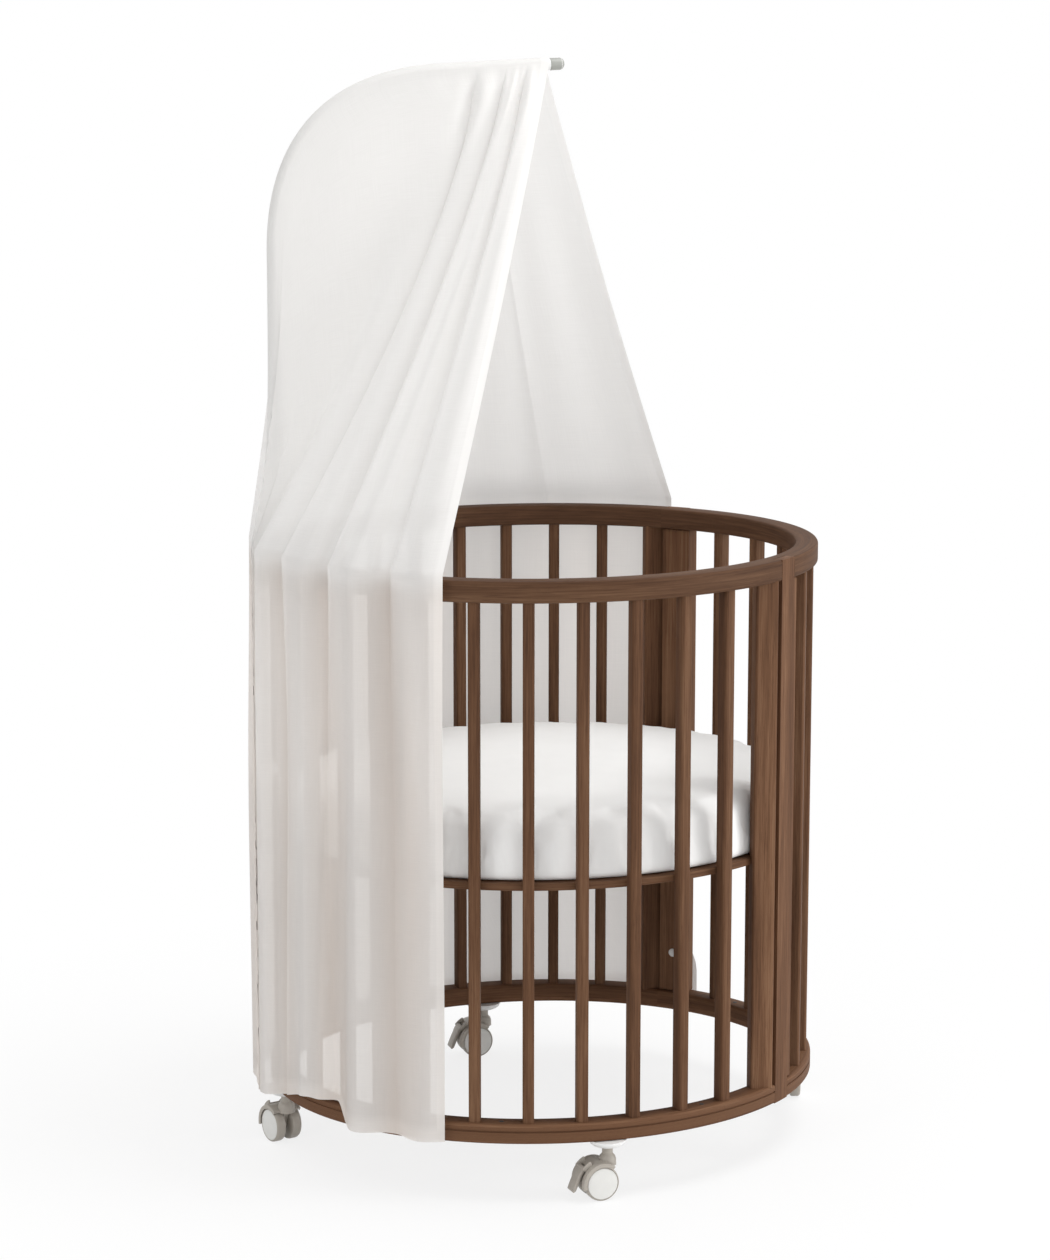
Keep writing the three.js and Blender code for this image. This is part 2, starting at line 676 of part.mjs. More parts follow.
// One line down the cloth: over the rod, out to the rail and straight down to the hem.
function canopyColumn(front, share) {
  const edge = (front ? canopyFrontAngle : canopyBackAngle) * degrees;
  const opened = spread(front, share);
  const nose = Math.max(0, share - canopyPoleShare) / (1 - canopyPoleShare);
  const flank = Math.PI + (front ? 1 : -1) * canopyPoleFlank * degrees * (1 - nose);
  const angle = flank + (edge - flank) * opened;
  const rim = rimPoint(angle, foldHeight(opened) * (front ? 1 : 0.6));
  const panelSweep = THREE.MathUtils.lerp(canopyPanelSweep, canopyEdgeSweep, opened);
  const sweep = THREE.MathUtils.lerp(panelSweep, canopyPoleSweep, softStep(0.8, 1, share));
  const onRod = (1 - share) * (canopyReach / (canopyReach + canopyTipGap));
  const centre = canopyPath.getPointAt(onRod);
  const along = canopyPath.getTangentAt(onRod);
  const out = new THREE.Vector3(-along.z, 0, along.x);
  const fall = new THREE.Vector3(rim.x - centre.x, rim.y - centre.y, 0);
  fall.multiplyScalar(canopyUpperRows ** -sweep).setZ((rim.z - centre.z) / canopyUpperRows);
  const leave = along.clone().cross(fall).normalize();
  if (leave.dot(out) < 0) leave.negate();
  leave.lerp(out, nose).normalize();
  const radius = rodDiameter / 2 + canopyRodGap + canopyThickness / 2;
  const column = [0, 0.5, 1].map((turn) => {
    const side = out.clone().lerp(leave, turn).normalize();
    return centre.clone().addScaledVector(side, radius);
  });
  const start = column[2];
  for (let i = 1; i <= canopyUpperRows; i++) {
    const down = i / canopyUpperRows;
    const point = start.clone().lerp(rim, down ** sweep);
    column.push(point.setZ(THREE.MathUtils.lerp(start.z, rim.z, down)));
  }
  column.push(rim.clone().setZ(cribHeight / 2), rim.clone().setZ(canopyHem));
  return column;
}

// The cloth as a grid of points: from the front edge round the rod's side to the back edge.
function canopyGrid() {
  const even = Array.from({ length: canopyColumns - 1 }, (unused, i) => i / (canopyColumns - 2));
  const shares = even.map((share) => canopyPoleShare * share ** 2.2);
  shares.push((1 + canopyPoleShare) / 2, 1);
  const frontSide = shares.map((share) => canopyColumn(true, share));
  const backSide = shares.slice(0, -1).map((share) => canopyColumn(false, share));
  return [...frontSide, ...backSide.reverse()];
}

// Outward normal of the cloth at a point of the grid. The two sides share the top of the rod.
function canopyNormal(grid, i, j) {
  const last = grid.length - 1;
  const pick = (a, b) => grid[a][b];
  const acrossTo = pick(Math.min(i + 1, last), j);
  const across = acrossTo.clone().sub(pick(Math.max(i - 1, 0), j));
  const above = j === 0 ? pick(last - i, 1) : pick(i, j - 1);
  const down = pick(i, Math.min(j + 1, grid[i].length - 1)).clone().sub(above);
  if (j === 0 && i !== last / 2) {
    const side = i < last / 2 ? 1 : -1;
    across.multiplyScalar(side);
    down.multiplyScalar(side);
  }
  return down.cross(across).normalize();
}

function canopySolid() {
  const grid = canopyGrid();
  const rows = grid[0].length;
  const skins = [0.5, -0.5].map((share) =>
    grid.map((column, i) =>
      column.map((p, j) => p.clone().addScaledVector(canopyNormal(grid, i, j), share * canopyThickness)),
    ),
  );
  const positions = skins.flat(2).flatMap((p) => [p.x, p.y, p.z]);
  const at = (skin, i, j) => (skin * grid.length + i) * rows + j;
  const index = [];
  const quad = (a, b, c, d) => index.push(a, b, c, a, c, d);
  for (let i = 0; i + 1 < grid.length; i++) {
    for (let j = 0; j + 1 < rows; j++) {
      quad(at(0, i, j), at(0, i, j + 1), at(0, i + 1, j + 1), at(0, i + 1, j));
      quad(at(1, i, j), at(1, i + 1, j), at(1, i + 1, j + 1), at(1, i, j + 1));
    }
    quad(at(0, i, rows - 1), at(1, i, rows - 1), at(1, i + 1, rows - 1), at(0, i + 1, rows - 1));
  }
  const end = grid.length - 1;
  for (let j = 0; j + 1 < rows; j++) {
    quad(at(0, 0, j), at(1, 0, j), at(1, 0, j + 1), at(0, 0, j + 1));
    quad(at(0, end, j), at(0, end, j + 1), at(1, end, j + 1), at(1, end, j));
  }
  const geometry = new THREE.BufferGeometry();
  geometry.setAttribute("position", new THREE.Float32BufferAttribute(positions, 3));
  geometry.setIndex(index);
  const solid = toSolid(geometry);
  return solid.volume() > 0 ? solid : flipped(geometry);
}

const walnut = { color: 0x6b4a35, roughness: 0.55, metalness: 0 };
const linen = { color: 0xf2f1ee, roughness: 0.9, metalness: 0 };
const greige = { color: 0xb3a99c, roughness: 0.5, metalness: 0 };
const white = { color: 0xf4f4f2, roughness: 0.4, metalness: 0 };

function addPiece(group, name, solid, look) {
  const mesh = new THREE.Mesh(toGeometry(solid), new THREE.MeshStandardMaterial(look));
  mesh.name = name;
  group.add(mesh);
  return mesh;
}

function addPanel(group, panel) {
  addPiece(group, `${panel.name}_top_rail`, railSolid(panel, false), walnut);
  addPiece(group, `${panel.name}_bottom_rail`, railSolid(panel, true), walnut);
  for (const piece of uprights(panel)) {
    const mesh = addPiece(group, `${panel.name}_${piece.name}`, uprightSolid(piece), walnut);
    const { at, turn } = standing(panel, piece);
    mesh.position.copy(at);
    mesh.rotation.z = turn;
  }
  if (!panel.posts) return;
  addPiece(group, `${panel.name}_post_1`, postSolid(panel, -1), walnut);
  addPiece(group, `${panel.name}_post_2`, postSolid(panel, 1), walnut);
}

function addCaster(group, caster) {
  const stand = new THREE.Group();
  stand.position.copy(ovalPoint(caster.angle, railDepth / 2));
  stand.rotation.z = caster.trail * degrees;
  addPiece(stand, `${caster.name}_caster_cup`, cupSolid(), white);
  addPiece(stand, `${caster.name}_caster_hood`, hoodSolid(), greige);
  addPiece(stand, `${caster.name}_caster_wheels`, wheelsSolid(), greige);
  addPiece(stand, `${caster.name}_brake_lever`, leverSolid(), greige);
  group.add(stand);
}

const crib = new THREE.Group();
for (const panel of panels) addPanel(crib, panel);
for (const caster of casters) addCaster(crib, caster);
addPiece(crib, "mattress_base", baseSolid(), walnut);
addPiece(crib, "mattress", mattressSolid(), linen);
addPiece(crib, "canopy_rod", rodSolid(), white);
addPiece(crib, "canopy", canopySolid(), linen);

// The part's frame has its origin on the floor under the middle of the whole.
const extent = new THREE.Box3().setFromObject(crib);
const middle = extent.getCenter(new THREE.Vector3());
crib.position.set(-middle.x, -middle.y, -extent.min.z);

export default crib;
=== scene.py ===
import json
import math

import bmesh
import bpy
import numpy as np
from mathutils import Matrix, Vector


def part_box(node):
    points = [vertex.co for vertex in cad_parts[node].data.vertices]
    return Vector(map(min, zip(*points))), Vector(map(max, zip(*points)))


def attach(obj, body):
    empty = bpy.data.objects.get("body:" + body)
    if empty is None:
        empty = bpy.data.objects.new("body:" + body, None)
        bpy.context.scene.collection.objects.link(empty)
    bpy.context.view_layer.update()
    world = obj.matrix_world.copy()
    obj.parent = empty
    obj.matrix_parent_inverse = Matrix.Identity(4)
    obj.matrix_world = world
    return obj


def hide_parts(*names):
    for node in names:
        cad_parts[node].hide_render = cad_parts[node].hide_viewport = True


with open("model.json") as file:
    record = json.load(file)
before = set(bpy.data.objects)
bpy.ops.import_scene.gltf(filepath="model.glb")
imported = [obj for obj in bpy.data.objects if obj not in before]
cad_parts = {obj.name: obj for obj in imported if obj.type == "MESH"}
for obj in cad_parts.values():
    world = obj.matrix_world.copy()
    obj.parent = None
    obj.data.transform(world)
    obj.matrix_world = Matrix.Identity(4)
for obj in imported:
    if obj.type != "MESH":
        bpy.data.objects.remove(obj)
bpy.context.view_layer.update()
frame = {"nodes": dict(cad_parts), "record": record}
print("frame loaded:", len(frame["nodes"]), "nodes")


# A socket that can be used in sums: each operator adds its Math node.
class Value:
    def __init__(self, maker, node, output=0):
        self.maker = maker
        self.node = node
        self.socket = node.outputs[output]

    def out(self, output):
        return Value(self.maker, self.node, output)

    def math(self, operation, *others):
        return self.maker.shader("Math", (self, *others), operation=operation)


# The reflected form is for a plain number on the operator's left.
def overload(operator, operation):
    def reflected(value, other):
        return value.maker.shader("Math", (other, value), operation=operation)

    setattr(Value, f"__{operator}__", lambda value, other: value.math(operation, other))
    setattr(Value, f"__r{operator}__", reflected)


for operator, operation in {"add": "ADD", "sub": "SUBTRACT", "mul": "MULTIPLY", "truediv": "DIVIDE"}.items():
    overload(operator, operation)


# Adds nodes to one tree: settings first, then the values or links of the sockets.
class Maker:
    def __init__(self, tree):
        self.tree = tree

    def make(self, kind, values=(), output=0, **settings):
        node = self.tree.nodes.new(kind)
        for key, setting in settings.items():
            setattr(node, key, setting)
        for key, value in values.items() if isinstance(values, dict) else enumerate(values):
            if isinstance(value, Value):
                self.tree.links.new(value.socket, node.inputs[key])
            else:
                node.inputs[key].default_value = value
        return Value(self, node, output) if len(node.outputs) else node

    def shader(self, kind, *values, **settings):
        return self.make("ShaderNode" + kind, *values, **settings)

    def geometry(self, kind, *values, **settings):
        return self.make("GeometryNode" + kind, *values, **settings)


# A geometry tree with named inputs; build(maker, inputs) returns the finished geometry.
class Recipe:
    kinds = {"count": "Int", "seed": "Int", "middle": "Vector"}

    def __init__(self, name, build, sizes):
        self.tree = bpy.data.node_groups.new(name, "GeometryNodeTree")
        self.sockets = {}
        self.addSocket("Geometry", "Geometry", "OUTPUT")
        self.addSocket("Geometry", "Geometry")
        for key in sizes:
            self.addSocket(key, self.kinds.get(key, "Float"))
        self.addSocket("material", "Material")
        maker = Maker(self.tree)
        entry = self.tree.nodes.new("NodeGroupInput")
        inputs = {socket.name: Value(maker, entry, i) for i, socket in enumerate(entry.outputs[:-1])}
        made = maker.geometry("RealizeInstances", [build(maker, inputs)])
        made = maker.geometry("SetMaterial", {"Geometry": made, "Material": inputs["material"]})
        maker.make("NodeGroupOutput", [made])

    def addSocket(self, name, kind, way="INPUT"):
        add = self.tree.interface.new_socket
        self.sockets[name] = add(name, in_out=way, socket_type="NodeSocket" + kind)

    # Runs the tree on a carrier object and returns the result as a plain mesh object.
    def bake(self, name, carrier, material, **sizes):
        modifier = carrier.modifiers.new("recipe", "NODES")
        modifier.node_group = self.tree
        for key, size in {**sizes, "material": material}.items():
            modifier[self.sockets[key].identifier] = size
        mesh = evaluated(carrier)
        bpy.data.objects.remove(carrier)
        return addObject(name, mesh)


# The mesh that an object's modifiers give.
def evaluated(piece):
    graph = bpy.context.evaluated_depsgraph_get()
    return bpy.data.meshes.new_from_object(piece.evaluated_get(graph), depsgraph=graph)


def addObject(name, data):
    data.name = name
    piece = bpy.data.objects.new(name, data)
    bpy.context.scene.collection.objects.link(piece)
    return piece


def addMesh(name, places, faces=()):
    mesh = bpy.data.meshes.new(name)
    mesh.from_pydata([tuple(place) for place in places], [], list(faces))
    return addObject(name, mesh)


def polyCurve(name, points, closed=False):
    curve = bpy.data.curves.new(name, "CURVE")
    curve.dimensions = "3D"
    spline = curve.splines.new("POLY")
    spline.points.add(len(points) - 1)
    for place, point in zip(spline.points, points):
        place.co = (*point, 1)
    spline.use_cyclic_u = closed
    return addObject(name, curve)


def newMaterial(name, build):
    material = bpy.data.materials.new(name)
    material.use_nodes = True
    tree = material.node_tree
    tree.nodes.clear()
    maker = Maker(tree)
    surface = build(maker)
    maker.shader("OutputMaterial", {"Surface": surface})
    return material


# Noise, bump and colour that several materials share.
def noise(maker, vector, scale, detail=3.0, roughness=0.5, distortion=0.0):
    values = {"Vector": vector, "Scale": scale, "Detail": detail}
    return maker.shader("TexNoise", {**values, "Roughness": roughness, "Distortion": distortion})


def stretched(maker, vector, scale):
    return maker.shader("Mapping", {"Vector": vector, "Scale": scale})


def mixColour(maker, factor, first, second, blend="MIX"):
    values = {0: factor, 6: first, 7: second}
    return maker.shader("Mix", values, output=2, data_type="RGBA", blend_type=blend)


# An even colour that turns a little darker where the factor is low.
def mottled(maker, factor, colour, share):
    return mixColour(maker, factor, (*(part * share for part in colour), 1), (*colour, 1))


def ramp(maker, factor, stops):
    made = maker.shader("ValToRGB", [factor])
    elements = made.node.color_ramp.elements
    while len(elements) < len(stops):
        elements.new(0.5)
    for element, (place, colour) in zip(elements, stops):
        element.position = place
        element.color = (*colour, 1)
    return made


def attribute(maker, name, output):
    return maker.shader("Attribute", output=output, attribute_name=name)


def bump(maker, height, strength, distance):
    return maker.shader("Bump", {"Height": height, "Strength": strength, "Distance": distance})


def principled(maker, colour, roughness, **values):
    values = {key.replace("_", " "): value for key, value in values.items()}
    return maker.shader("BsdfPrincipled", {"Base Color": colour, "Roughness": roughness, **values})


walnutLook = {
    "dark": (0.050, 0.022, 0.011),
    "middle": (0.106, 0.051, 0.026),
    "light": (0.190, 0.104, 0.058),
    "roughness": 0.56,
    "specular": 0.13,
    # Tones per part: partly the wood's own difference between pieces and partly painted light. The boards and
    # slats that stand in shade are made lighter, and the lamp-lit top rail darker.
    "tonesAndPaintedLight": {"top_rail": 0.88, "bottom_rail": 1.30, "slat": 1.14, "board": 1.32},
    "broad": (28, 28, 1.6),
    "fibre": (420, 420, 9),
    "pore": (1500, 1500, 38),
    "poreDepth": 0.0003,
}


# Stained hardwood: fibres and pores run along the third axis of the grain attribute. Its colours are scaled
# per part, partly for the wood's own tone and partly as painted light and shade.
def walnut(toneAndPaintedLight):
    def build(maker):
        look = walnutLook
        grain = attribute(maker, "grain", 1)
        broad = noise(maker, stretched(maker, grain, look["broad"]), 1.0, 3, 0.55, 0.6)
        fibre = noise(maker, stretched(maker, grain, look["fibre"]), 1.0, 3, 0.6)
        pore = noise(maker, stretched(maker, grain, look["pore"]), 1.0, 2, 0.6)
        places = {"dark": 0.30, "middle": 0.50, "light": 0.72}
        stops = [(place, [toneAndPaintedLight * part for part in look[name]]) for name, place in places.items()]
        colour = ramp(maker, broad * 0.55 + fibre * 0.45, stops)
        pores = ramp(maker, pore, [(0.30, (0.55, 0.5, 0.48)), (0.44, (1, 1, 1))])
        colour = mixColour(maker, 0.75, colour, pores, "MULTIPLY")
        relief = bump(maker, fibre * 0.5 + pore * 0.5, 0.35, look["poreDepth"])
        shine = {"Specular_IOR_Level": look["specular"]}
        return principled(maker, colour, look["roughness"] + fibre * 0.16, Normal=relief, **shine)

    return build


mouldedLook = {
    "greige": (0.40, 0.365, 0.32),
    "disc": (0.74, 0.735, 0.71),
    "white": (0.86, 0.86, 0.85),
    "cap": (0.34, 0.345, 0.32),
}


# Injection-moulded plastic: an even colour with a fine spark-eroded texture.
def moulded(colour, roughness):
    def build(maker):
        place = maker.shader("TexCoord", output=3)
        mottle = noise(maker, place, 60.0, 3)
        texture = bump(maker, noise(maker, place, 2600.0, 2), 0.12, 0.0001)
        colours = mottled(maker, mottle, colour, 0.93)
        return principled(maker, colours, roughness + mottle * 0.08, Normal=texture)

    return build


greige = newMaterial("greige_plastic", moulded(mouldedLook["greige"], 0.38))
discPlastic = newMaterial("pale_plastic", moulded(mouldedLook["disc"], 0.34))
whitePlastic = newMaterial("white_plastic", moulded(mouldedLook["white"], 0.4))
capPlastic = newMaterial("cap_plastic", moulded(mouldedLook["cap"], 0.4))
# One walnut per part, made lighter or darker partly as painted light and shade.
wood = {name: newMaterial("walnut_" + name, walnut(toneAndPaintedLight)) for name, toneAndPaintedLight in walnutLook["tonesAndPaintedLight"].items()}
print("materials made")


# The rails follow an oval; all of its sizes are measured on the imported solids.
def measureCrib():
    right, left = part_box("right_top_rail"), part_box("left_top_rail")
    front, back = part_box("front_top_rail"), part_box("back_top_rail")
    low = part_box("front_bottom_rail")
    return {
        "centre": Vector(((right[1][0] + left[0][0]) / 2, (front[0][1] + back[1][1]) / 2, 0)),
        "halfLength": (right[1][0] - left[0][0]) / 2,
        "halfWidth": (back[1][1] - front[0][1]) / 2,
        "top": (front[0][2], front[1][2]),
        "bottom": (low[0][2], low[1][2]),
    }


crib = measureCrib()
print("crib measured:", crib)

woodSizes = {
    "fit": 0.0003,
    "railDepth": 0.032,
    "railRound": 0.004,
    "slats": {"count": 6, "width": 0.016, "depth": 0.020, "round": 0.0035},
    "slatPitch": 0.074,
    "boards": {"count": 2, "width": 0.033, "depth": 0.020, "round": 0.003},
    "tenon": 0.002,
    "postWidth": 0.046,
    "postDepth": 0.026,
    "postRound": 0.003,
    "lapDepth": 0.015,
    "lapWidth": 0.034,
    "lapRound": 0.0012,
    "beadDrop": 0.009,
    "beadWidth": 0.0026,
    "beadDepth": 0.0018,
    "beadRound": 0.001,
    "beadRoom": 0.002,
    "cutRoom": 0.005,
    "cutRound": 0.0001,
    "coreInset": 0.002,
}
panelAngles = {"right": 0.0, "back": math.pi / 2, "left": math.pi, "front": 1.5 * math.pi}


def ovalPoint(angle, inset, z=0.0):
    c, s = math.cos(angle), math.sin(angle)
    normal = Vector((c * crib["halfWidth"], s * crib["halfLength"], 0)).normalized()
    return crib["centre"] + Vector((crib["halfLength"] * c, crib["halfWidth"] * s, z)) - normal * inset


# Lengths along lines of points, from the first point to each of them.
def lengthsAlong(places):
    steps = np.linalg.norm(np.diff(places, axis=0), axis=-1)
    return np.concatenate([0 * steps[:1], np.cumsum(steps, axis=0)])


# Angles at even lengths along the rails' centre line.
def tableOfLengths(steps=2880):
    angles = np.linspace(0, 2 * math.pi, steps + 1)
    return angles, lengthsAlong([ovalPoint(angle, woodSizes["railDepth"] / 2) for angle in angles])


ovalAngles, ovalLengths = tableOfLengths()
panelReach = ovalLengths[-1] / 8


def angleAt(panel, along):
    start = np.interp(panelAngles[panel], ovalAngles, ovalLengths)
    wanted = (start + along) % ovalLengths[-1]
    return float(np.interp(wanted, ovalLengths, ovalAngles))


def ovalPath(name, panel, start, end, inset, z, steps):
    alongs = np.linspace(start, end, steps + 1)
    return polyCurve(name, [ovalPoint(angleAt(panel, along), inset, z) for along in alongs])


def skinned(maker, path, profile):
    return maker.geometry("CurveToMesh", {"Curve": path, "Profile Curve": profile, "Fill Caps": True})


# The oval is followed counterclockwise, so a profile's x points outwards and its y up.
def sweep(maker, path, profile):
    return skinned(maker, maker.geometry("SetCurveNormal", {"Curve": path}, mode="Z_UP"), profile)


def stored(maker, geometry, name, value, kind="FLOAT", domain="POINT"):
    values = {"Geometry": geometry, "Name": name, "Value": value}
    return maker.geometry("StoreNamedAttribute", values, data_type=kind, domain=domain)


def named(maker, name, kind="FLOAT"):
    return maker.geometry("InputNamedAttribute", {"Name": name}, data_type=kind)


def roundedOutline(maker, width, height, radius):
    quad = maker.geometry("CurvePrimitiveQuadrilateral", {"Width": width, "Height": height})
    return maker.geometry("FilletCurve", {"Curve": quad, "Count": 4, "Radius": radius}, mode="POLY")


def combine(maker, x, y, z):
    return maker.shader("CombineXYZ", [x, y, z])


def positionParts(maker):
    split = maker.shader("SeparateXYZ", [maker.geometry("InputPosition")])
    return split, split.out(1), split.out(2)


# Copies stand on points with one of their axes turned along a vector.
def copiesAlong(maker, points, copy, axis, vector):
    turn = maker.make("FunctionNodeAlignEulerToVector", {"Vector": vector}, axis=axis)
    return maker.geometry("InstanceOnPoints", {"Points": points, "Instance": copy, "Rotation": turn})


def transformed(maker, geometry, **values):
    return maker.geometry("Transform", {"Geometry": geometry, **values})


# A bar swept along its path, with a shift of its own for the grain. Upright 0 runs the grain
# along the path and 1 runs it up the bar.
def barTree(maker, inputs):
    path = stored(maker, inputs["Geometry"], "along", maker.geometry("SplineParameter", output=1))
    outline = roundedOutline(maker, inputs["depth"], inputs["height"], inputs["round"])
    for name, part in zip(("outwards", "up"), positionParts(maker)):
        outline = stored(maker, outline, name, part)
    bar = sweep(maker, path, outline)
    shift, upright = inputs["shift"], inputs["upright"]
    up, along = named(maker, "up"), named(maker, "along")
    across = up * (1 - upright) + along * upright
    fibre = along * (1 - upright) + up * upright
    grain = combine(maker, across + shift, named(maker, "outwards") + shift * 3.1, fibre + shift * 7.7)
    return stored(maker, bar, "grain", grain, "FLOAT_VECTOR")


barRecipe = Recipe("bar", barTree, ("height", "depth", "round", "shift", "upright"))


def smoothed(piece, angle):
    piece.data.polygons.foreach_set("use_smooth", [True] * len(piece.data.polygons))
    piece.data.set_sharp_from_angle(angle=math.radians(angle))


# Says how a finished piece moves and which solids it stands for.
def finish(piece, angle, body, slot, *nodes):
    smoothed(piece, angle)
    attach(piece, body)
    if nodes:
        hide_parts(*nodes)


def addModifier(piece, kind, **settings):
    modifier = piece.modifiers.new(kind.lower(), kind)
    for key, value in settings.items():
        setattr(modifier, key, value)
    return modifier


# Replaces a piece's mesh by the result of its modifiers.
def applied(piece):
    mesh = evaluated(piece)
    piece.modifiers.clear()
    piece.data = mesh
    return piece


def cutAway(piece, cutter):
    addModifier(piece, "BOOLEAN", object=cutter, operation="DIFFERENCE", solver="EXACT")
    applied(piece)
    bpy.data.objects.remove(cutter)


# Several pieces as one mesh, each part keeping its own material.
def joined(name, parts):
    work = bmesh.new()
    materials = []
    for part in parts:
        own = part.data.materials[0]
        if own not in materials:
            materials.append(own)
        before = len(work.faces)
        work.from_mesh(part.data)
        work.faces.ensure_lookup_table()
        for face in work.faces[before:]:
            face.material_index = materials.index(own)
        bpy.data.objects.remove(part)
    mesh = bpy.data.meshes.new(name)
    work.to_mesh(mesh)
    work.free()
    for material in materials:
        mesh.materials.append(material)
    return addObject(name, mesh)


# A bar along the oval: between two places along it, two insets from the rails' faces, two heights.
def ovalBar(name, panel, ends, insets, heights, edge, material, steps=64, **grain):
    path = ovalPath(name, panel, *ends, sum(insets) / 2, sum(heights) / 2, steps)
    made = {"height": heights[1] - heights[0], "depth": insets[1] - insets[0], "round": edge}
    return barRecipe.bake(name, path, material, **made, **grain)


# Bottom rails have a bead groove, and the posts lap over the ends of the left and right rails.
def addRail(panel, level, shift):
    sizes, heights, material = woodSizes, crib[level], wood[level + "_rail"]
    reach, insets = panelReach - sizes["fit"] / 2, (0.0, sizes["railDepth"])
    made = (sizes["railRound"], material)
    rail = ovalBar(f"{panel}_{level}_bar", panel, (-reach, reach), insets, heights, *made, shift=shift)
    if level == "bottom":
        reach += sizes["beadRoom"]
        drop = heights[1] - sizes["beadDrop"]
        bead, insets = (drop - sizes["beadWidth"], drop), (-sizes["beadDepth"], sizes["beadDepth"])
        made = (sizes["beadRound"], material)
        cutAway(rail, ovalBar("groove", panel, (-reach, reach), insets, bead, *made, shift=shift))
    if panel in ("left", "right"):
        room, edge = sizes["cutRoom"], sizes["cutRound"]
        start, end = panelReach - 2 * sizes["fit"] - sizes["lapWidth"], panelReach + room
        insets, heights = (-room, sizes["lapDepth"] + sizes["fit"]), (heights[0] - room, heights[1] + room)
        for side in (-1, 1):
            ends = sorted((side * start, side * end))
            cutAway(rail, ovalBar("notch", panel, ends, insets, heights, edge, material, 8))
    finish(rail, 40, "frame", "walnut", f"{panel}_{level}_rail")


for number, panel in enumerate(panelAngles):
    addRail(panel, "top", 0.37 * number)
    addRail(panel, "bottom", 0.37 * number + 0.19)
print("rails made")


# Uprights stand on the points of a short path along the rail, each turned to face outwards.
def uprightsTree(maker, inputs):
    values = {"Curve": inputs["Geometry"], "Count": inputs["count"]}
    points = maker.geometry("ResampleCurve", values, mode="COUNT")
    outline = roundedOutline(maker, inputs["depth"], inputs["width"], inputs["round"])
    ends = {key: combine(maker, 0.0, 0.0, inputs[name]) for key, name in (("Start", "low"), ("End", "high"))}
    upright = skinned(maker, maker.geometry("CurvePrimitiveLine", ends), outline)
    placed = copiesAlong(maker, points, upright, "Y", maker.geometry("InputTangent"))
    values = {2: 0.0, 3: 9.0, 8: inputs["seed"]}
    random = maker.make("FunctionNodeRandomValue", values, output=1, data_type="FLOAT")
    placed = stored(maker, placed, "shift", random, domain="INSTANCE")
    made = maker.geometry("RealizeInstances", [placed])
    x, y, z = positionParts(maker)
    shift = named(maker, "shift")
    grain = combine(maker, x + shift, y + shift * 2.3, z + shift)
    return stored(maker, made, "grain", grain, "FLOAT_VECTOR")


uprightsRecipe = Recipe("uprights", uprightsTree, ("count", "seed", "width", "depth", "round", "low", "high"))


# Slats and end boards stand between the rails, set back alike from the rails' faces.
def addUprights(panel, kind, reach, seed):
    sizes = woodSizes[kind + "s"]
    path = ovalPath("places", panel, -reach, reach, woodSizes["railDepth"] / 2, 0.0, 48)
    lengths = {"low": crib["bottom"][1] - woodSizes["tenon"], "high": crib["top"][0] + woodSizes["tenon"]}
    uprights = uprightsRecipe.bake(f"{panel}_{kind}s", path, wood[kind], seed=seed, **lengths, **sizes)
    finish(uprights, 35, "frame", "walnut", *[f"{panel}_{kind}_{i + 1}" for i in range(sizes["count"])])


# Posts of the left and right panels: the outer half laps over the ends of both rails.
def addPost(panel, side, shift):
    sizes, bottom, top = woodSizes, crib["bottom"], crib["top"]
    outer = panelReach - sizes["fit"]

    def bar(start, end, insets, heights, edge):
        ends = sorted((side * start, side * end))
        grain = {"shift": shift, "upright": 1.0}
        return ovalBar("post", panel, ends, insets, heights, edge, wood["board"], 10, **grain)

    lap = (0.0, sizes["lapDepth"])
    lap = bar(outer - sizes["lapWidth"], outer, lap, (bottom[0], top[1]), sizes["lapRound"])
    inset = sizes["coreInset"]
    core, between = (inset, sizes["postDepth"]), (bottom[1] + sizes["fit"], top[0] - sizes["fit"])
    core = bar(outer - sizes["postWidth"], outer - inset / 2, core, between, sizes["postRound"])
    number = 1 if side < 0 else 2
    finish(joined(f"{panel}_end_post_{number}", [lap, core]), 40, "frame", "walnut", f"{panel}_post_{number}")


steelLook = {"bright": (0.62, 0.62, 0.60), "dark": (0.03, 0.027, 0.024)}


# Zinc-plated steel with a fine turned finish.
def steel(maker):
    fine = noise(maker, maker.shader("TexCoord", output=3), 900.0, 2)
    return principled(maker, mottled(maker, fine, steelLook["bright"], 0.8), 0.3 + fine * 0.15, Metallic=0.85)


boltSteel = newMaterial("bolt_steel", steel)
# Near-black colour: painted shade inside the bolts' hex sockets and inside the screw holes.
paintedRecessShade = newMaterial("socket_steel", moulded(steelLook["dark"], 0.6))


# Fasteners stand on points and face along the vector that is stored there.
def headsTree(maker, inputs):
    dome = maker.geometry("MeshUVSphere", {"Segments": 28, "Rings": 14, "Radius": 1.0})
    scale = combine(maker, inputs["radius"], inputs["radius"], inputs["rise"])
    return facingOut(maker, inputs, dome, Scale=scale)


# A flat dark hexagon on each bolt head stands for its recessed socket; its dark colour is painted shade.
def socketsTree(maker, inputs):
    values = {"Vertices": 6, "Radius": inputs["radius"], "Depth": inputs["depth"]}
    hexagon = maker.geometry("MeshCylinder", values)
    return facingOut(maker, inputs, hexagon, Translation=combine(maker, 0.0, 0.0, inputs["rise"]))


def facingOut(maker, inputs, shape, **values):
    shape = transformed(maker, shape, **values)
    return copiesAlong(maker, inputs["Geometry"], shape, "Z", named(maker, "facing", "FLOAT_VECTOR"))


fasteners = {
    "boltHeights": (0.174, 0.500),
    "screwHolePlace": 2.0 * woodSizes["slatPitch"],
    "heads": {"radius": 0.0065, "rise": 0.0024},
    "sockets": {"radius": 0.0029, "rise": 0.0020, "depth": 0.0008},
    "screw_plugs": {"radius": 0.0034, "rise": 0.0004},
}
headsRecipe = Recipe("bolt_heads", headsTree, fasteners["heads"])
socketsRecipe = Recipe("bolt_sockets", socketsTree, fasteners["sockets"])


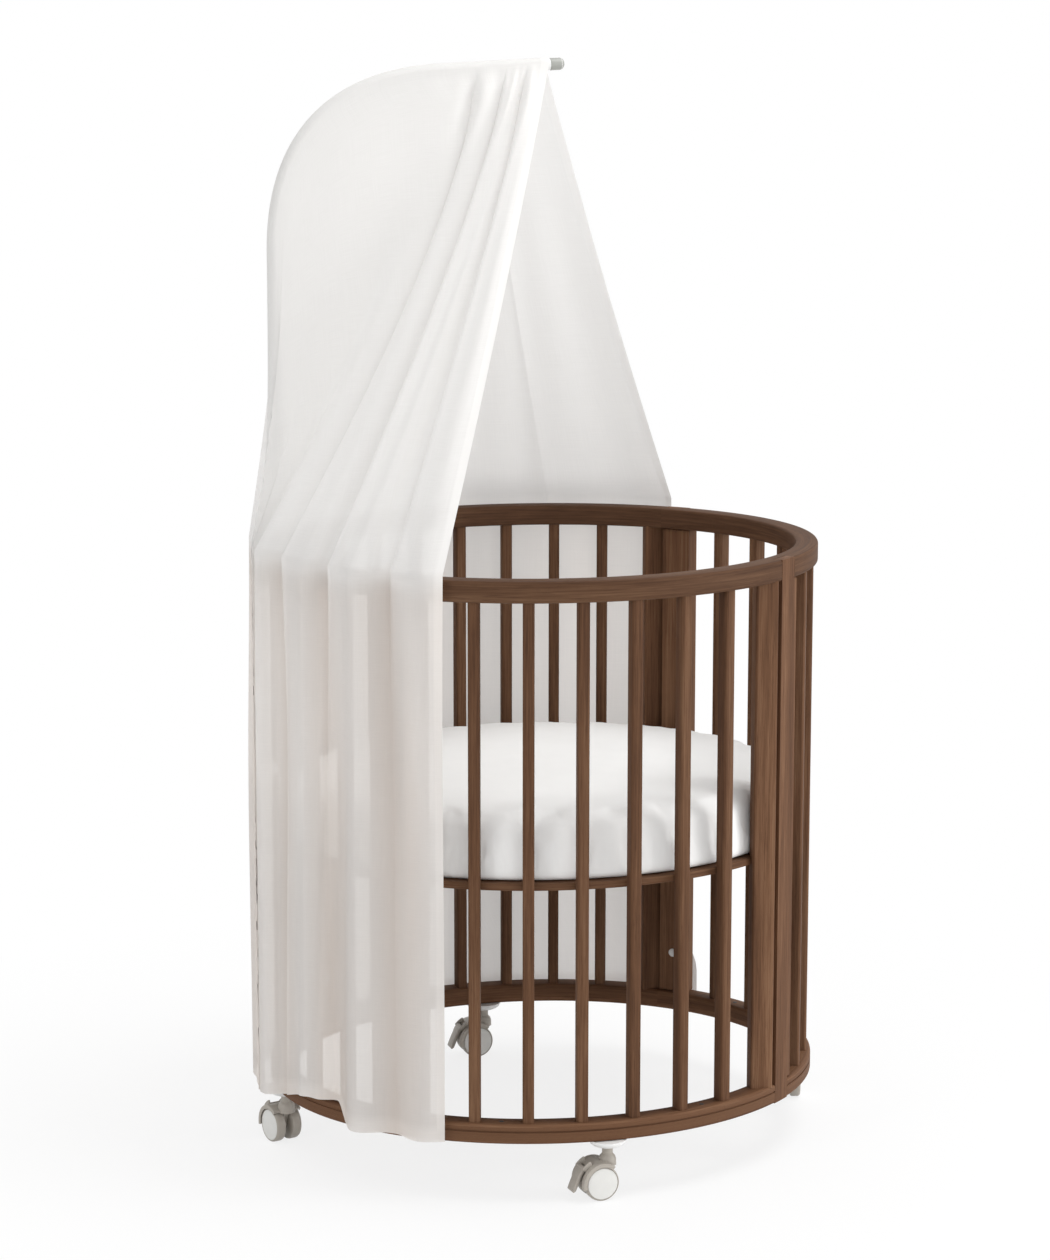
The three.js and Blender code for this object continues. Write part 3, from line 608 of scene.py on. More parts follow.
def fastened(recipe, name, spots, material):
    places, facings = zip(*spots)
    carrier = addMesh("places", places)
    facing = carrier.data.attributes.new("facing", "FLOAT_VECTOR", "POINT")
    facing.data.foreach_set("vector", np.array(facings, dtype=np.float32).ravel())
    return recipe.bake(name, carrier, material, **fasteners[name])


# Bolts through the posts draw the four panels together at the seams.
def addBolts():
    spots = []
    place = panelReach - woodSizes["fit"] - woodSizes["postWidth"] / 2
    for panel, side in (("left", -1), ("left", 1), ("right", -1), ("right", 1)):
        angle = angleAt(panel, side * place)
        for height in fasteners["boltHeights"]:
            inner = ovalPoint(angle, woodSizes["postDepth"], height)
            spots.append((inner, inner - ovalPoint(angle, 0.0, height)))
    heads = fastened(headsRecipe, "heads", spots, boltSteel)
    sockets = fastened(socketsRecipe, "sockets", spots, paintedRecessShade)
    finish(joined("seam_bolts", [heads, sockets]), 50, "frame", "rod_paint")


# Flat dark discs on the bottom rails' tops stand for the screw holes: their dark colour is painted shade.
def addScrewHoleShades():
    spots = []
    for panel in panelAngles:
        for side in (-1, 1):
            angle = angleAt(panel, side * fasteners["screwHolePlace"])
            spots.append((ovalPoint(angle, woodSizes["railDepth"] / 2, crib["bottom"][1]), (0, 0, 1)))
    finish(fastened(headsRecipe, "screw_plugs", spots, paintedRecessShade), 50, "frame", "walnut")


for number, panel in enumerate(panelAngles):
    addUprights(panel, "slat", (woodSizes["slats"]["count"] - 1) / 2 * woodSizes["slatPitch"], 11 + number)
for number, panel in enumerate(("front", "back")):
    addUprights(panel, "board", panelReach - woodSizes["fit"] - woodSizes["boards"]["width"] / 2, 31 + number)
for number, panel in enumerate(("left", "right")):
    addPost(panel, -1, 2.9 + number)
    addPost(panel, 1, 5.3 + number)
addBolts()
addScrewHoleShades()
print("slats, boards, posts and bolts made")


# The base is an oval ring with slats between its two sides.
baseSizes = {
    "ringWidth": 0.034,
    "ringCore": 0.6,
    "slatWidth": 0.046,
    "slatPitch": 0.090,
    "slatThinner": 0.0004,
    "edge": 0.0015,
}


def measureOval(node):
    low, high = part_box(node)
    halfLength, halfWidth = (high[0] - low[0]) / 2, (high[1] - low[1]) / 2
    inset = crib["halfLength"] - halfLength
    return {"low": low[2], "high": high[2], "inset": inset, "halfLength": halfLength, "halfWidth": halfWidth}


def closedOval(name, inset, z, steps=240):
    return polyCurve(name, [ovalPoint(2 * math.pi * i / steps, inset, z) for i in range(steps)], closed=True)


# Slats along a line, each as long as the oval is wide at its place.
def baseSlatsTree(maker, inputs):
    first, pitch = [combine(maker, inputs[key], 0.0, 0.0) for key in ("start", "pitch")]
    values = {"Count": inputs["count"], "Start Location": first, "Offset": pitch}
    line = maker.geometry("MeshLine", values, mode="OFFSET")
    outline = roundedOutline(maker, inputs["width"], inputs["thickness"], inputs["round"])
    bar = maker.geometry("CurvePrimitiveLine", {"Start": (0, -0.5, 0), "End": (0, 0.5, 0)})
    x, y, z = positionParts(maker)
    reach = x / inputs["halfLength"]
    length = inputs["halfWidth"] * 2 * (1 - reach * reach).math("SQRT")
    values = {"Points": line, "Instance": sweep(maker, bar, outline)}
    values["Scale"] = combine(maker, 1.0, length, 1.0)
    placed = maker.geometry("InstanceOnPoints", values)
    made = maker.geometry("RealizeInstances", [placed])
    made = stored(maker, made, "grain", combine(maker, x * 1.7 + 0.4, z, y + x * 9), "FLOAT_VECTOR")
    return transformed(maker, made, Translation=inputs["middle"])


def addBase():
    sizes, base = baseSizes, measureOval("mattress_base")
    ringWidth, pitch = sizes["ringWidth"], sizes["slatPitch"]
    thickness = base["high"] - base["low"]
    middle = (base["low"] + base["high"]) / 2
    path = closedOval("ring", base["inset"] + ringWidth / 2, middle)
    made = {"height": thickness, "depth": ringWidth, "round": sizes["edge"], "shift": 8.1}
    ring = barRecipe.bake("base_ring", path, wood["slat"], **made)
    count = 2 * int((base["halfLength"] - ringWidth) / pitch) + 1
    given = {"count": count, "start": -(count - 1) / 2 * pitch, "pitch": pitch, "round": sizes["edge"]}
    given.update(width=sizes["slatWidth"], thickness=thickness - sizes["slatThinner"])
    for key in ("halfLength", "halfWidth"):
        given[key] = base[key] - ringWidth * sizes["ringCore"]
    given["middle"] = (*crib["centre"].xy, middle)
    recipe = Recipe("base_slats", baseSlatsTree, given)
    slats = recipe.bake("base_slats", addMesh("carrier", []), wood["slat"], **given)
    for piece in (ring, slats):
        finish(piece, 40, "base", "walnut", "mattress_base")


addBase()
print("base made")


mattressLook = {"white": (0.93, 0.93, 0.92), "thread": 1900.0}


# Brushed cotton sheet: a fine weave and a soft nap.
def cotton(maker):
    look = mattressLook
    place = maker.shader("TexCoord", output=3)
    weave = bump(maker, noise(maker, place, look["thread"], 2, 0.6), 0.2, 0.0003)
    colour = mottled(maker, noise(maker, place, 26.0, 3), look["white"], 0.955)
    return principled(maker, colour, 0.88, Normal=weave, Sheen_Weight=0.2)


sheetCotton = newMaterial("cotton_sheet", cotton)

# A firm oval core in a fitted sheet: the rings run up the side and over the crown.
mattressShape = {
    "edge": 0.020,
    "foot": 0.009,
    "crown": 0.012,
    "crownShare": 0.94,
    "margin": 0.003,
    "voxel": 0.0055,
    "frames": 20,
    "held": 0.012,
    "cap": 0.006,
}
sheetCloth = {
    "quality": 6,
    "mass": 0.2,
    "use_pressure": True,
    "uniform_pressure_force": 4.0,
    "tension_stiffness": 18,
    "compression_stiffness": 18,
    "shear_stiffness": 6,
    "bending_stiffness": 0.6,
    "shrink_min": -0.035,
    "vertex_group_mass": "held",
}


def quarterTurn(steps):
    return [i / steps * math.pi / 2 for i in range(steps + 1)]


# Faces between rings of points that are listed one ring after another.
def ringFaces(rings, steps):
    faces = []
    for a in range(0, (rings - 1) * steps, steps):
        b = a + steps
        for i in range(steps):
            j = (i + 1) % steps
            faces.append((a + i, a + j, b + j, b + i))
    return faces


def mattressRings(box):
    shape = mattressShape
    foot, edge = shape["foot"], shape["edge"]
    inset = box["inset"] + shape["margin"]
    low, high = box["low"], box["high"] - shape["margin"] * 0.5
    shoulder = high - shape["crown"]
    rings = []
    for turn in quarterTurn(4):
        rings.append((inset + foot * (1 - math.sin(turn)), low + foot * (1 - math.cos(turn))))
    rings.append((inset, (low + shoulder) / 2))
    for turn in quarterTurn(6):
        rings.append((inset + edge * (1 - math.cos(turn)), shoulder - edge * (1 - math.sin(turn))))
    reach = box["halfWidth"] - shape["margin"] - edge
    for i in range(1, 9):
        rise = shape["crown"] * math.sin(i / 9 * math.pi / 2)
        rings.append((inset + edge + reach * (i / 9) * shape["crownShare"], shoulder + rise))
    return rings


def mattressBlank(box, steps=180):
    rings = mattressRings(box)
    places = [ovalPoint(2 * math.pi * i / steps, inset, z) for inset, z in rings for i in range(steps)]
    faces = ringFaces(len(rings), steps) + [tuple(range(steps - 1, -1, -1))]
    faces.append(tuple(range((len(rings) - 1) * steps, len(rings) * steps)))
    return addMesh("mattress_sheet", places, faces)


def pointsOf(mesh):
    points = np.empty(len(mesh.vertices) * 3)
    mesh.vertices.foreach_get("co", points)
    return points.reshape(-1, 3)


# Slack in the sheet is let out over the core, and the wrinkles are kept to a few millimetres.
def drapeSheet(piece, box):
    shape = mattressShape
    addModifier(piece, "REMESH", mode="VOXEL", voxel_size=shape["voxel"], use_smooth_shade=True)
    applied(piece)
    start = pointsOf(piece.data)
    held = piece.vertex_groups.new(name="held")
    low = box["low"] + shape["held"]
    held.add([i for i, point in enumerate(start) if point[2] < low], 1.0, "REPLACE")
    cloth = addModifier(piece, "CLOTH")
    for key, setting in sheetCloth.items():
        setattr(cloth.settings, key, setting)
    cloth.settings.effector_weights.gravity = 0
    cloth.collision_settings.use_collision = False
    for number in range(1, shape["frames"] + 1):
        bpy.context.scene.frame_set(number)
    applied(piece)
    bpy.context.scene.frame_set(1)
    moved = pointsOf(piece.data) - start
    lengths = np.linalg.norm(moved, axis=1, keepdims=True)
    scale = np.tanh(lengths / shape["cap"]) * shape["cap"] / np.maximum(lengths, 1e-9)
    piece.data.vertices.foreach_set("co", (start + moved * scale).astype(np.float32).ravel())
    piece.data.update()


def addMattress():
    box = measureOval("mattress")
    mattress = mattressBlank(box)
    drapeSheet(mattress, box)
    addModifier(mattress, "SUBSURF", levels=1, render_levels=1)
    applied(mattress)
    mattress.data.materials.clear()
    mattress.data.materials.append(sheetCotton)
    finish(mattress, 180, "mattress", "mattress_sheet", "mattress")


addMattress()
print("mattress made")


# The canopy hangs over a bent rod at the left end. The rod runs in the crib's middle plane: it
# stands outside the rail, steps in over it, and bends towards the crib's middle.
rodSizes = {
    "radius": 0.008,
    "jogStart": 0.888,
    "jogHeight": 0.100,
    "jogReach": 0.021,
    "bendStart": 1.290,
    "bendReach": 0.240,
    "tipRise": 0.008,
    "fullness": 0.64,
    "tipGap": 0.020,
}


def measureRod():
    low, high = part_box("canopy_rod")
    sizes = rodSizes
    x, y = low[0] + sizes["radius"], crib["centre"].y
    poleX = x + sizes["jogReach"]
    half = Vector((0, 0, sizes["jogHeight"] / 2))
    jogStart = Vector((x, y, sizes["jogStart"]))
    jogEnd = Vector((poleX, y, sizes["jogStart"] + sizes["jogHeight"]))
    tip = Vector((high[0], y, high[2] - sizes["radius"]))
    bendStart = Vector((poleX, y, sizes["bendStart"]))
    bendEnd = Vector((poleX + sizes["bendReach"], y, tip.z - sizes["tipRise"]))
    lift = bendStart + Vector((0, 0, sizes["fullness"] * (bendEnd.z - bendStart.z)))
    lean = bendEnd - (tip - bendEnd).normalized() * sizes["fullness"] * sizes["bendReach"]
    jog, bend = (jogStart, jogStart + half, jogEnd - half, jogEnd), (bendStart, lift, lean, bendEnd)
    return {"foot": Vector((x, y, low[2])), "jog": jog, "bend": bend, "tip": tip}


rod = measureRod()


def bezier(points, t):
    a, b, c, d = points
    s = 1 - t
    return a * s**3 + b * 3 * s * s * t + c * 3 * s * t * t + d * t**3


# The cloth's share of the rod as points, from its front end near the tip to the bend's start.
def rodLine(shares):
    arm = [rod["tip"].lerp(rod["bend"][3], i / 40) for i in range(40)]
    rough = np.array(arm + [bezier(rod["bend"], 1 - i / 80) for i in range(81)])
    lengths = lengthsAlong(rough)
    reach = lengths[-1] - rodSizes["tipGap"]
    places = rodSizes["tipGap"] + shares * reach
    return np.stack([np.interp(places, lengths, rough[:, k]) for k in range(3)], axis=1), reach


canopyLook = {
    "white": (0.865, 0.857, 0.845),
    "shade": (0.815, 0.802, 0.785),
    "paintedWarmShade": (0.90, 0.815, 0.745),
    "paintedWarmShadeShare": 0.85,
    "slub": (900, 14, 1),
    "weft": (16, 1100, 1),
    "cloud": (5, 5, 1),
    "cover": 0.915,
    "weaveShare": 0.16,
    "cloudShare": 0.06,
    "hemShare": 0.10,
    "sheer": 0.17,
    "translucent": 0.24,
}


# Sheer voile: fine threads, slubs, denser hems, and light through it. Below the rim and in the fold valleys a
# warm tint is painted: it paints the brown light of the wood behind the cloth and the shade in the folds.
def voile(maker):
    look = canopyLook
    cloth = maker.shader("UVMap", uv_map="cloth")
    slub = noise(maker, stretched(maker, cloth, look["slub"]), 1.0, 2, 0.6)
    weft = noise(maker, stretched(maker, cloth, look["weft"]), 1.0, 2, 0.6)
    cloud = noise(maker, stretched(maker, cloth, look["cloud"]), 1.0, 3)
    hem, sheer = attribute(maker, "hem", 2), attribute(maker, "sheer", 2)
    weave = slub * 0.5 + weft * 0.5
    alpha = look["cover"] + (weave - 0.5) * look["weaveShare"] + (cloud - 0.5) * look["cloudShare"]
    alpha = alpha + hem * look["hemShare"] - sheer * look["sheer"]
    colour = mixColour(maker, weave, (*look["shade"], 1), (*look["white"], 1))
    # Where the sheer share is high, below the rim and in the valleys, the painted warm shade is mixed in.
    colour = mixColour(maker, sheer * look["paintedWarmShadeShare"], colour, (*look["paintedWarmShade"], 1))
    relief = bump(maker, weave, 0.25, 0.0004)
    facing = principled(maker, colour, 0.85, Alpha=alpha.math("MINIMUM", 1.0), Normal=relief)
    through = maker.shader("BsdfTranslucent", {"Color": (*look["white"], 1)})
    return maker.shader("MixShader", [look["translucent"], facing, through])


voileCloth = newMaterial("sheer_cloth", voile)

canopyShape = {
    "columns": 260,
    "columnShares": (0.30, 0.42, 0.28),
    "upperRows": 96,
    "lowerRows": 60,
    "gap": 0.0018,
    "standOff": 0.0135,
    "poleStandOff": 0.024,
    "poleSpan": 14.0,
    "poleFlank": 2.4,
    "poleShare": 0.93,
    "rimLift": 0.009,
    "hem": 0.088,
    "tuck": 0.030,
    "edgeAngles": (237.0, 47.5),
    "gathers": (0.080, 0.250),
    "gatherPower": 1.5,
    "edgeSweep": 1.08,
    "panelSweep": 1.6,
    "poleSweep": 4.5,
    "sweepPower": 0.5,
    "sweepChange": (0.8, 1.0),
    "leaveShare": 0.2,
    "tuckRise": (0.0, 0.45),
    "tuckFall": (0.52, 0.57),
    "backTuck": 0.4,
    "seam": 0.0004,
    "hemBand": (0.014, 0.017),
    "sideBand": (0.010, 0.013),
}


def smoothstep(low, high, value):
    t = np.clip((value - low) / (high - low), 0, 1)
    return t * t * (3 - 2 * t)


def blend(first, second, share):
    return first + (second - first) * share


def normalised(vectors):
    return vectors / np.maximum(np.linalg.norm(vectors, axis=-1, keepdims=True), 1e-9)


# Share of the way from the pole back to the cloth's edge that lies under a point of the rod.
def spread(gather, shares, reach):
    at = lambda length: np.exp(-((length / gather) ** canopyShape["gatherPower"]))
    return (at(shares * reach) - at(reach)) / (1 - at(reach))


# Each fold rises quickly from its valley and falls slowly to the next one.
def foldHeight(phase, skew):
    return np.sin(math.pi * (phase % 1.0) ** skew)


# Places of the columns along the rod: they keep their distance on the rod and round both rims.
def columnShares():
    fine = np.linspace(0, 1, 4001)
    reach = rodLine(fine)[1]
    near, far = [1 - spread(gather, fine, reach) for gather in canopyShape["gathers"]]
    shares = canopyShape["columnShares"]
    even = shares[0] * fine + shares[1] * near + shares[2] * far
    return np.interp(np.linspace(0, 1, canopyShape["columns"]), even, fine)


# One side of the cloth: rows run from the top of the rod down to the hem.
def canopySide(front):
    shape, number = canopyShape, 0 if front else 1
    shares = columnShares()
    line, reach = rodLine(shares)
    opened = spread(shape["gathers"][number], shares, reach)
    nose = np.clip((shares - shape["poleShare"]) / (1 - shape["poleShare"]), 0, 1)
    flank = 180 + (1 - 2 * number) * shape["poleFlank"] * (1 - nose)
    angles = np.radians(blend(flank, shape["edgeAngles"][number], opened))
    outwards = np.array([ovalPoint(angle, -1.0) - ovalPoint(angle, 0.0) for angle in angles])
    nearPole = np.exp(-(((np.degrees(angles) - 180) / shape["poleSpan"]) ** 2))
    bulge = (shape["poleStandOff"] - shape["standOff"]) * nearPole
    rimHeight = crib["top"][1] + shape["rimLift"]
    rim = np.array([ovalPoint(angle, -shape["standOff"], rimHeight) for angle in angles])
    rim += outwards * bulge[:, None]

    along = np.gradient(line, axis=0)
    along = normalised(along / np.maximum(np.gradient(shares), 1e-6)[:, None])
    out = np.stack([along[:, 2], 0 * shares, -along[:, 0]], axis=1)
    sweep = blend(shape["panelSweep"], shape["edgeSweep"], opened ** shape["sweepPower"])
    sweep = blend(sweep, shape["poleSweep"], smoothstep(*shape["sweepChange"], shares))
    fall = rim - line
    fall[:, :2] *= (shape["leaveShare"] ** (sweep - 1))[:, None]
    side = normalised(np.cross(along, normalised(fall)))
    side *= np.sign(np.sum(side * out, axis=1, keepdims=True))
    leave = normalised(blend(side, out, nose[:, None]))
    radius = rodSizes["radius"] + shape["gap"]
    rows = [(line + radius * normalised(blend(out, leave, turned)), 0.0) for turned in np.linspace(0, 1, 6)]
    start = rows[-1][0]
    for i in range(1, shape["upperRows"] + 1):
        s = i / shape["upperRows"]
        place = blend(start, rim, s)
        place[:, :2] = blend(start[:, :2], rim[:, :2], (s ** sweep)[:, None])
        rows.append((place, s))
    tucked = shape["backTuck"] * opened
    if front:
        tucked = smoothstep(*shape["tuckRise"], opened) * (1 - smoothstep(*shape["tuckFall"], opened))
    hem = shape["hem"] + shape["tuck"] * tucked
    for i in range(1, shape["lowerRows"] + 1):
        s = i / shape["lowerRows"]
        place = rim.copy()
        place[:, 2] = blend(rim[:, 2], hem, s)
        rows.append((place, 1 + s))
    return addFolds(rows, opened, shares, outwards, leave, front)


# Each wave has a depth, its turns across the cloth, and a wander that changes down and across it.
foldShape = {
    "depth": 0.030,
    "pitch": 0.28,
    "start": 0.18,
    "skew": 0.60,
    "drift": 0.05,
    "driftTurns": (3.1, 1.9),
    "roundness": (0.97, 0.75),
    "backDepth": 0.45,
    # backSheer also makes the painted warm shade stronger on the far side below its rim.
    "backSheer": 1.5,
    "topDepth": 0.42,
    "hemDepth": 0.55,
    "pleat": (0.0030, 6.3, 2.2, 2.0, 7, 0.0),
    "gather": (0.0010, 7, 0.6 * math.pi, 0.0, 9, 0.0),
    "sway": (0.0050, 4.4, 0.44 * math.pi, 2.7, 4, 1.1),
    "soft": (0.0045, 4.2, 1.3, 2.4, 0, 0.0),
    "gatherReach": 0.12,
    "clearance": 0.0045,
    "settling": 0.002,
    "flare": 0.052,
    "plainSheer": 0.35,
}
# Stretches down the cloth run from 0 on the rod over 1 at the rim to 2 at the hem. Those across it
# run from 0 at the pole to 1 at the edge, and flatAlong runs along the rod from its bend.
foldPlaces = {
    "open": (0.0, 1.0),
    "grow": (0.0, 0.07),
    "gather": (0.0, 0.03),
    "pleat": (0.05, 0.6),
    "soft": (0.05, 0.5),
    "turnOut": (0.0, 0.25),
    "settle": (0.8, 0.95),
    "below": (0.9, 1.5),
    "under": (0.98, 1.05),
    "flare": (1.80, 1.95),
    "keepAcross": (0.0, 0.15),
    "flatAcross": (0.15, 0.5),
    "flatAlong": (0.02, 0.25),
    "flareAcross": (0.84, 1.0),
}


def wave(name, place, s):
    depth, turns, wander, down, across, start = foldShape[name]
    return depth * np.sin(2 * math.pi * turns * place + wander * np.sin(down * s + across * place) + start)


# 0 before a named stretch of the cloth, 1 beyond it.
def passed(name, place):
    return smoothstep(*foldPlaces[name], place)


# Values below the limit settle just above it.
def softened(values, limit, width):
    return limit + width * np.logaddexp(0, (values - limit) / width)


# Folds start at the gathers on the rod, open towards the rail and fall straight below it.
def addFolds(rows, opened, shares, outwards, leave, front):
    folds = foldShape
    phase = opened / folds["pitch"] + folds["start"]
    sheerShare = 1.0 if front else folds["backSheer"]
    keep = passed("keepAcross", opened)
    flat = passed("flatAlong", 1 - shares) * (1 - passed("flatAcross", opened))
    size = folds["depth"] * (1 if front else folds["backDepth"])
    lowest = folds["clearance"] - canopyShape["standOff"]
    down, across = folds["driftTurns"]
    power, roundShare = folds["roundness"]
    made = []
    for place, s in rows:
        below = passed("below", s)
        at = phase + folds["drift"] * np.sin(down * s + phase * across) * below
        crisp = foldHeight(at if front else -at, folds["skew"])
        main = blend(crisp, 0.5 - 0.5 * np.cos(2 * math.pi * at ** power), roundShare * below)
        opening = blend(folds["topDepth"], 1, passed("open", s)) * blend(1, folds["hemDepth"], below)
        height = size * passed("grow", s) * opening * (main - 0.5)
        height = height + wave("pleat", opened, s) * passed("pleat", s)
        gathered = np.exp(-((s / folds["gatherReach"]) ** 2)) * passed("gather", s)
        height = height + wave("gather", opened, s) * gathered
        height = (height + wave("sway", opened, s) * below) * keep
        height = height + wave("soft", shares, s) * flat * passed("soft", s)
        height = blend(height, softened(height, lowest, folds["settling"]), passed("settle", s))
        direction = normalised(blend(leave, outwards, passed("turnOut", s)))
        if not front:
            corner = passed("flareAcross", opened) * passed("flare", s)
            along = np.stack([outwards[:, 1], -outwards[:, 0], 0 * opened], axis=1)
            place = place + along * (folds["flare"] * corner)[:, None]
        # The sheer share is highest below the rim and in the fold valleys. It lowers the alpha and sets the
        # painted warm shade.
        under = passed("under", s) * sheerShare
        made.append((place + direction * height[:, None], under * blend(1, folds["plainSheer"], main)))
    return made


def addGrid(name, places, uvs, **numbers):
    rows, columns = places.shape[:2]
    index = np.arange(rows * columns).reshape(rows, columns)
    faces = np.stack([index[:-1, :-1], index[:-1, 1:], index[1:, 1:], index[1:, :-1]], axis=-1).reshape(-1, 4)
    piece = addMesh(name, places.reshape(-1, 3).tolist(), faces.tolist())
    mesh = piece.data
    layer = mesh.uv_layers.new(name="cloth")
    corners = np.empty(len(mesh.loops), dtype=np.int32)
    mesh.loops.foreach_get("vertex_index", corners)
    layer.data.foreach_set("uv", uvs.reshape(-1, 2)[corners].astype(np.float32).ravel())
    for key, values in numbers.items():
        attribute = mesh.attributes.new(key, "FLOAT", "POINT")
        attribute.data.foreach_set("value", values.astype(np.float32).ravel())
    return piece


# The whole cloth is one grid: front hem up over the rod and down to the back hem. Its two sides
# meet down the left end, where their last columns become one.
def makeCanopy():
    shape = canopyShape
    rows = canopySide(True)[::-1] + canopySide(False)[1:]
    places, sheer = np.array([place for place, sheer in rows]), np.array([sheer for place, sheer in rows])
    down = lengthsAlong(places).mean(axis=1)
    across = lengthsAlong(places.transpose(1, 0, 2)).T
    reach = across[:, -1].max()
    v = np.broadcast_to(down[:, None], across.shape)
    uvs = np.stack([across / np.maximum(across[:, -1:], 1e-6) * reach, v], axis=-1)
    bottom = np.minimum(v, v.max() - v)
    hems = 1 - np.minimum(smoothstep(*shape["hemBand"], bottom), smoothstep(*shape["sideBand"], across))
    print("canopy reach and length:", round(float(reach), 3), round(float(down[-1]), 3))
    canopy = addGrid("canopy_cloth", places, uvs, hem=hems, sheer=sheer)
    canopy.data.materials.append(voileCloth)
    cleaned(canopy.data, shape["seam"])
    finish(canopy, 180, "canopy", "canopy_cloth", "canopy")
    area = sum(polygon.area for polygon in canopy.data.polygons)
    print("canopy area:", round(area, 3))


# Points closer than a distance become one, and all faces are turned to face outwards.
def cleaned(mesh, doubles=0.0, slivers=0.0):
    work = bmesh.new()
    work.from_mesh(mesh)
    if doubles:
        bmesh.ops.remove_doubles(work, verts=work.verts, dist=doubles)
    if slivers:
        bmesh.ops.dissolve_degenerate(work, edges=work.edges, dist=slivers)
    bmesh.ops.recalc_face_normals(work, faces=work.faces)
    work.to_mesh(mesh)
    work.free()


makeCanopy()
print("canopy made")


# A round bar along its path: the rod.
def tubeTree(maker, inputs):
    values = {"Resolution": 32, "Radius": inputs["radius"]}
    outline = maker.geometry("CurvePrimitiveCircle", values, mode="RADIUS")
    return skinned(maker, inputs["Geometry"], outline)


tubeRecipe = Recipe("tube", tubeTree, ["radius"])


# A flat shape in the crib's middle plane, given width along Y and rounded edges.
def plate(name, outline, width, edge, material):
    count = len(outline)
    places = [(x, side * width / 2, z) for side in (-1, 1) for x, z in outline]
    faces = [tuple(range(count)), tuple(range(2 * count - 1, count - 1, -1))]
    for i in range(count):
        j = (i + 1) % count
        faces.append((j, i, count + i, count + j))
    piece = addMesh(name, places, faces)
    cleaned(piece.data)
    piece.data.materials.append(material)
    if edge:
        limit = {"limit_method": "ANGLE", "angle_limit": math.radians(40)}
        addModifier(piece, "BEVEL", width=edge, segments=3, **limit)
        applied(piece)
    return piece


# A turned shape: radius and height pairs round the Z axis.
def turned(name, profile, material, steps=48):
    angles = [2 * math.pi * i / steps for i in range(steps)]
    places = [(r * math.cos(angle), r * math.sin(angle), z) for r, z in profile for angle in angles]
    piece = addMesh(name, places, ringFaces(len(profile), steps))
    cleaned(piece.data, 1e-6, 1e-7)
    piece.data.materials.append(material)
    return piece


def moved(piece, x=0, y=0, z=0):
    piece.data.transform(Matrix.Translation((x, y, z)))
    return piece


def rotated(piece, angle):
    piece.data.transform(Matrix.Rotation(angle, 4, "X"))
    return piece


# A round pin along Y.
def pin(name, radius, half):
    profile = [(0.0, -half), (radius, -half), (radius, half), (0.0, half)]
    return rotated(turned(name, profile, greige, 24), math.pi / 2)


# The rod, its hook over the rail, the collar beside it and the bar at its foot.
rodFittings = {
    "hookDrop": 0.020,
    "hookThickness": 0.005,
    "hookWidth": 0.040,
    "hookEdge": 0.0015,
    "hookRoom": 0.002,
    "fit": 0.0003,
    "collarPlace": 0.018,
    "barLength": 0.106,
    "barHeight": 0.014,
    "barEdge": 0.003,
    "capLength": 0.016,
}


def addRod():
    sizes = rodFittings
    fit, thick, drop, length = sizes["fit"], sizes["hookThickness"], sizes["hookDrop"], sizes["capLength"]
    points = [rod["foot"]] + [bezier(rod["jog"], i / 12) for i in range(13)]
    points += [bezier(rod["bend"], i / 48) for i in range(49)] + [rod["tip"]]
    bar = tubeRecipe.bake("rod_bar", polyCurve("rod_bar", points), whitePlastic, radius=rodSizes["radius"])
    x, y, low = rod["foot"]
    outside = crib["centre"].x - crib["halfLength"] - fit
    inside = outside + woodSizes["railDepth"] + 2 * fit + sizes["hookRoom"]
    top = crib["top"][1] + fit
    lip = inside + thick
    outline = [(inside, top - drop), (lip, top - drop), (lip, top + thick), (x, top + thick)]
    outline += [(x, top - 2 * drop), (outside, top - 2 * drop), (outside, top), (inside, top)]
    hook = plate("rod_hook", outline, sizes["hookWidth"], sizes["hookEdge"], capPlastic)
    profile = [(0.0085, -0.030), (0.0112, -0.028), (0.0112, 0.010), (0.0085, 0.014)]
    collar = moved(turned("rod_collar", profile, capPlastic), x, 0, top - sizes["collarPlace"])
    high = low + sizes["barHeight"]
    outline = [(x, low), (outside, low), (outside, high), (x, high)]
    bumper = plate("rod_bumper", outline, sizes["barLength"], sizes["barEdge"], whitePlastic)
    fittings = [moved(piece, 0, y) for piece in (hook, collar, bumper)]
    profile = [(0.0, 0.0042), (0.004, 0.0038), (0.0072, 0.0015), (0.0086, -0.002), (0.0086, -length)]
    cap = turned("rod_cap", [*profile, (0.0079, -length - 0.0006)], capPlastic)
    arm = (rod["tip"] - rod["bend"][3]).normalized()
    cap.data.transform(Matrix.Translation(rod["tip"]) @ arm.to_track_quat("Z", "Y").to_matrix().to_4x4())
    whole = joined("canopy_frame", [bar, *fittings, cap])
    finish(whole, 35, "canopy", "rod_paint", "canopy_rod")


addRod()
print("rod made")


# Casters are built round their own axes: the swivel is Z, the axle lies along Y and the wheels
# trail towards X.
casterSizes = {
    "wheelRadius": 0.025,
    "wheelWidth": 0.015,
    "wheelGap": 0.011,
    "trail": 0.015,
    "discRadius": 0.0225,
    "hoodInner": 0.0266,
    "hoodOuter": 0.0296,
    "hoodRear": 51.0,
    "hoodFront": 128.0,
    "hoodEdge": 0.0009,
    "cheekRear": -12.0,
    "cheekInside": 0.0134,
    "lipInner": 0.0238,
    "lipThickness": 0.0011,
    "lipGap": 0.0004,
    "webGap": 0.0024,
    "earGap": 0.0016,
    "earThickness": 0.0026,
    "cupSeat": 0.0727,
    "neckRadius": 0.0075,
    "leverWidth": 0.020,
    "leverPin": 42.0,
    "leverPinRadius": 0.0322,
    "leverPinHalf": 0.0099,
    "cupRadius": 0.027,
    "cupMouth": 0.010,
}


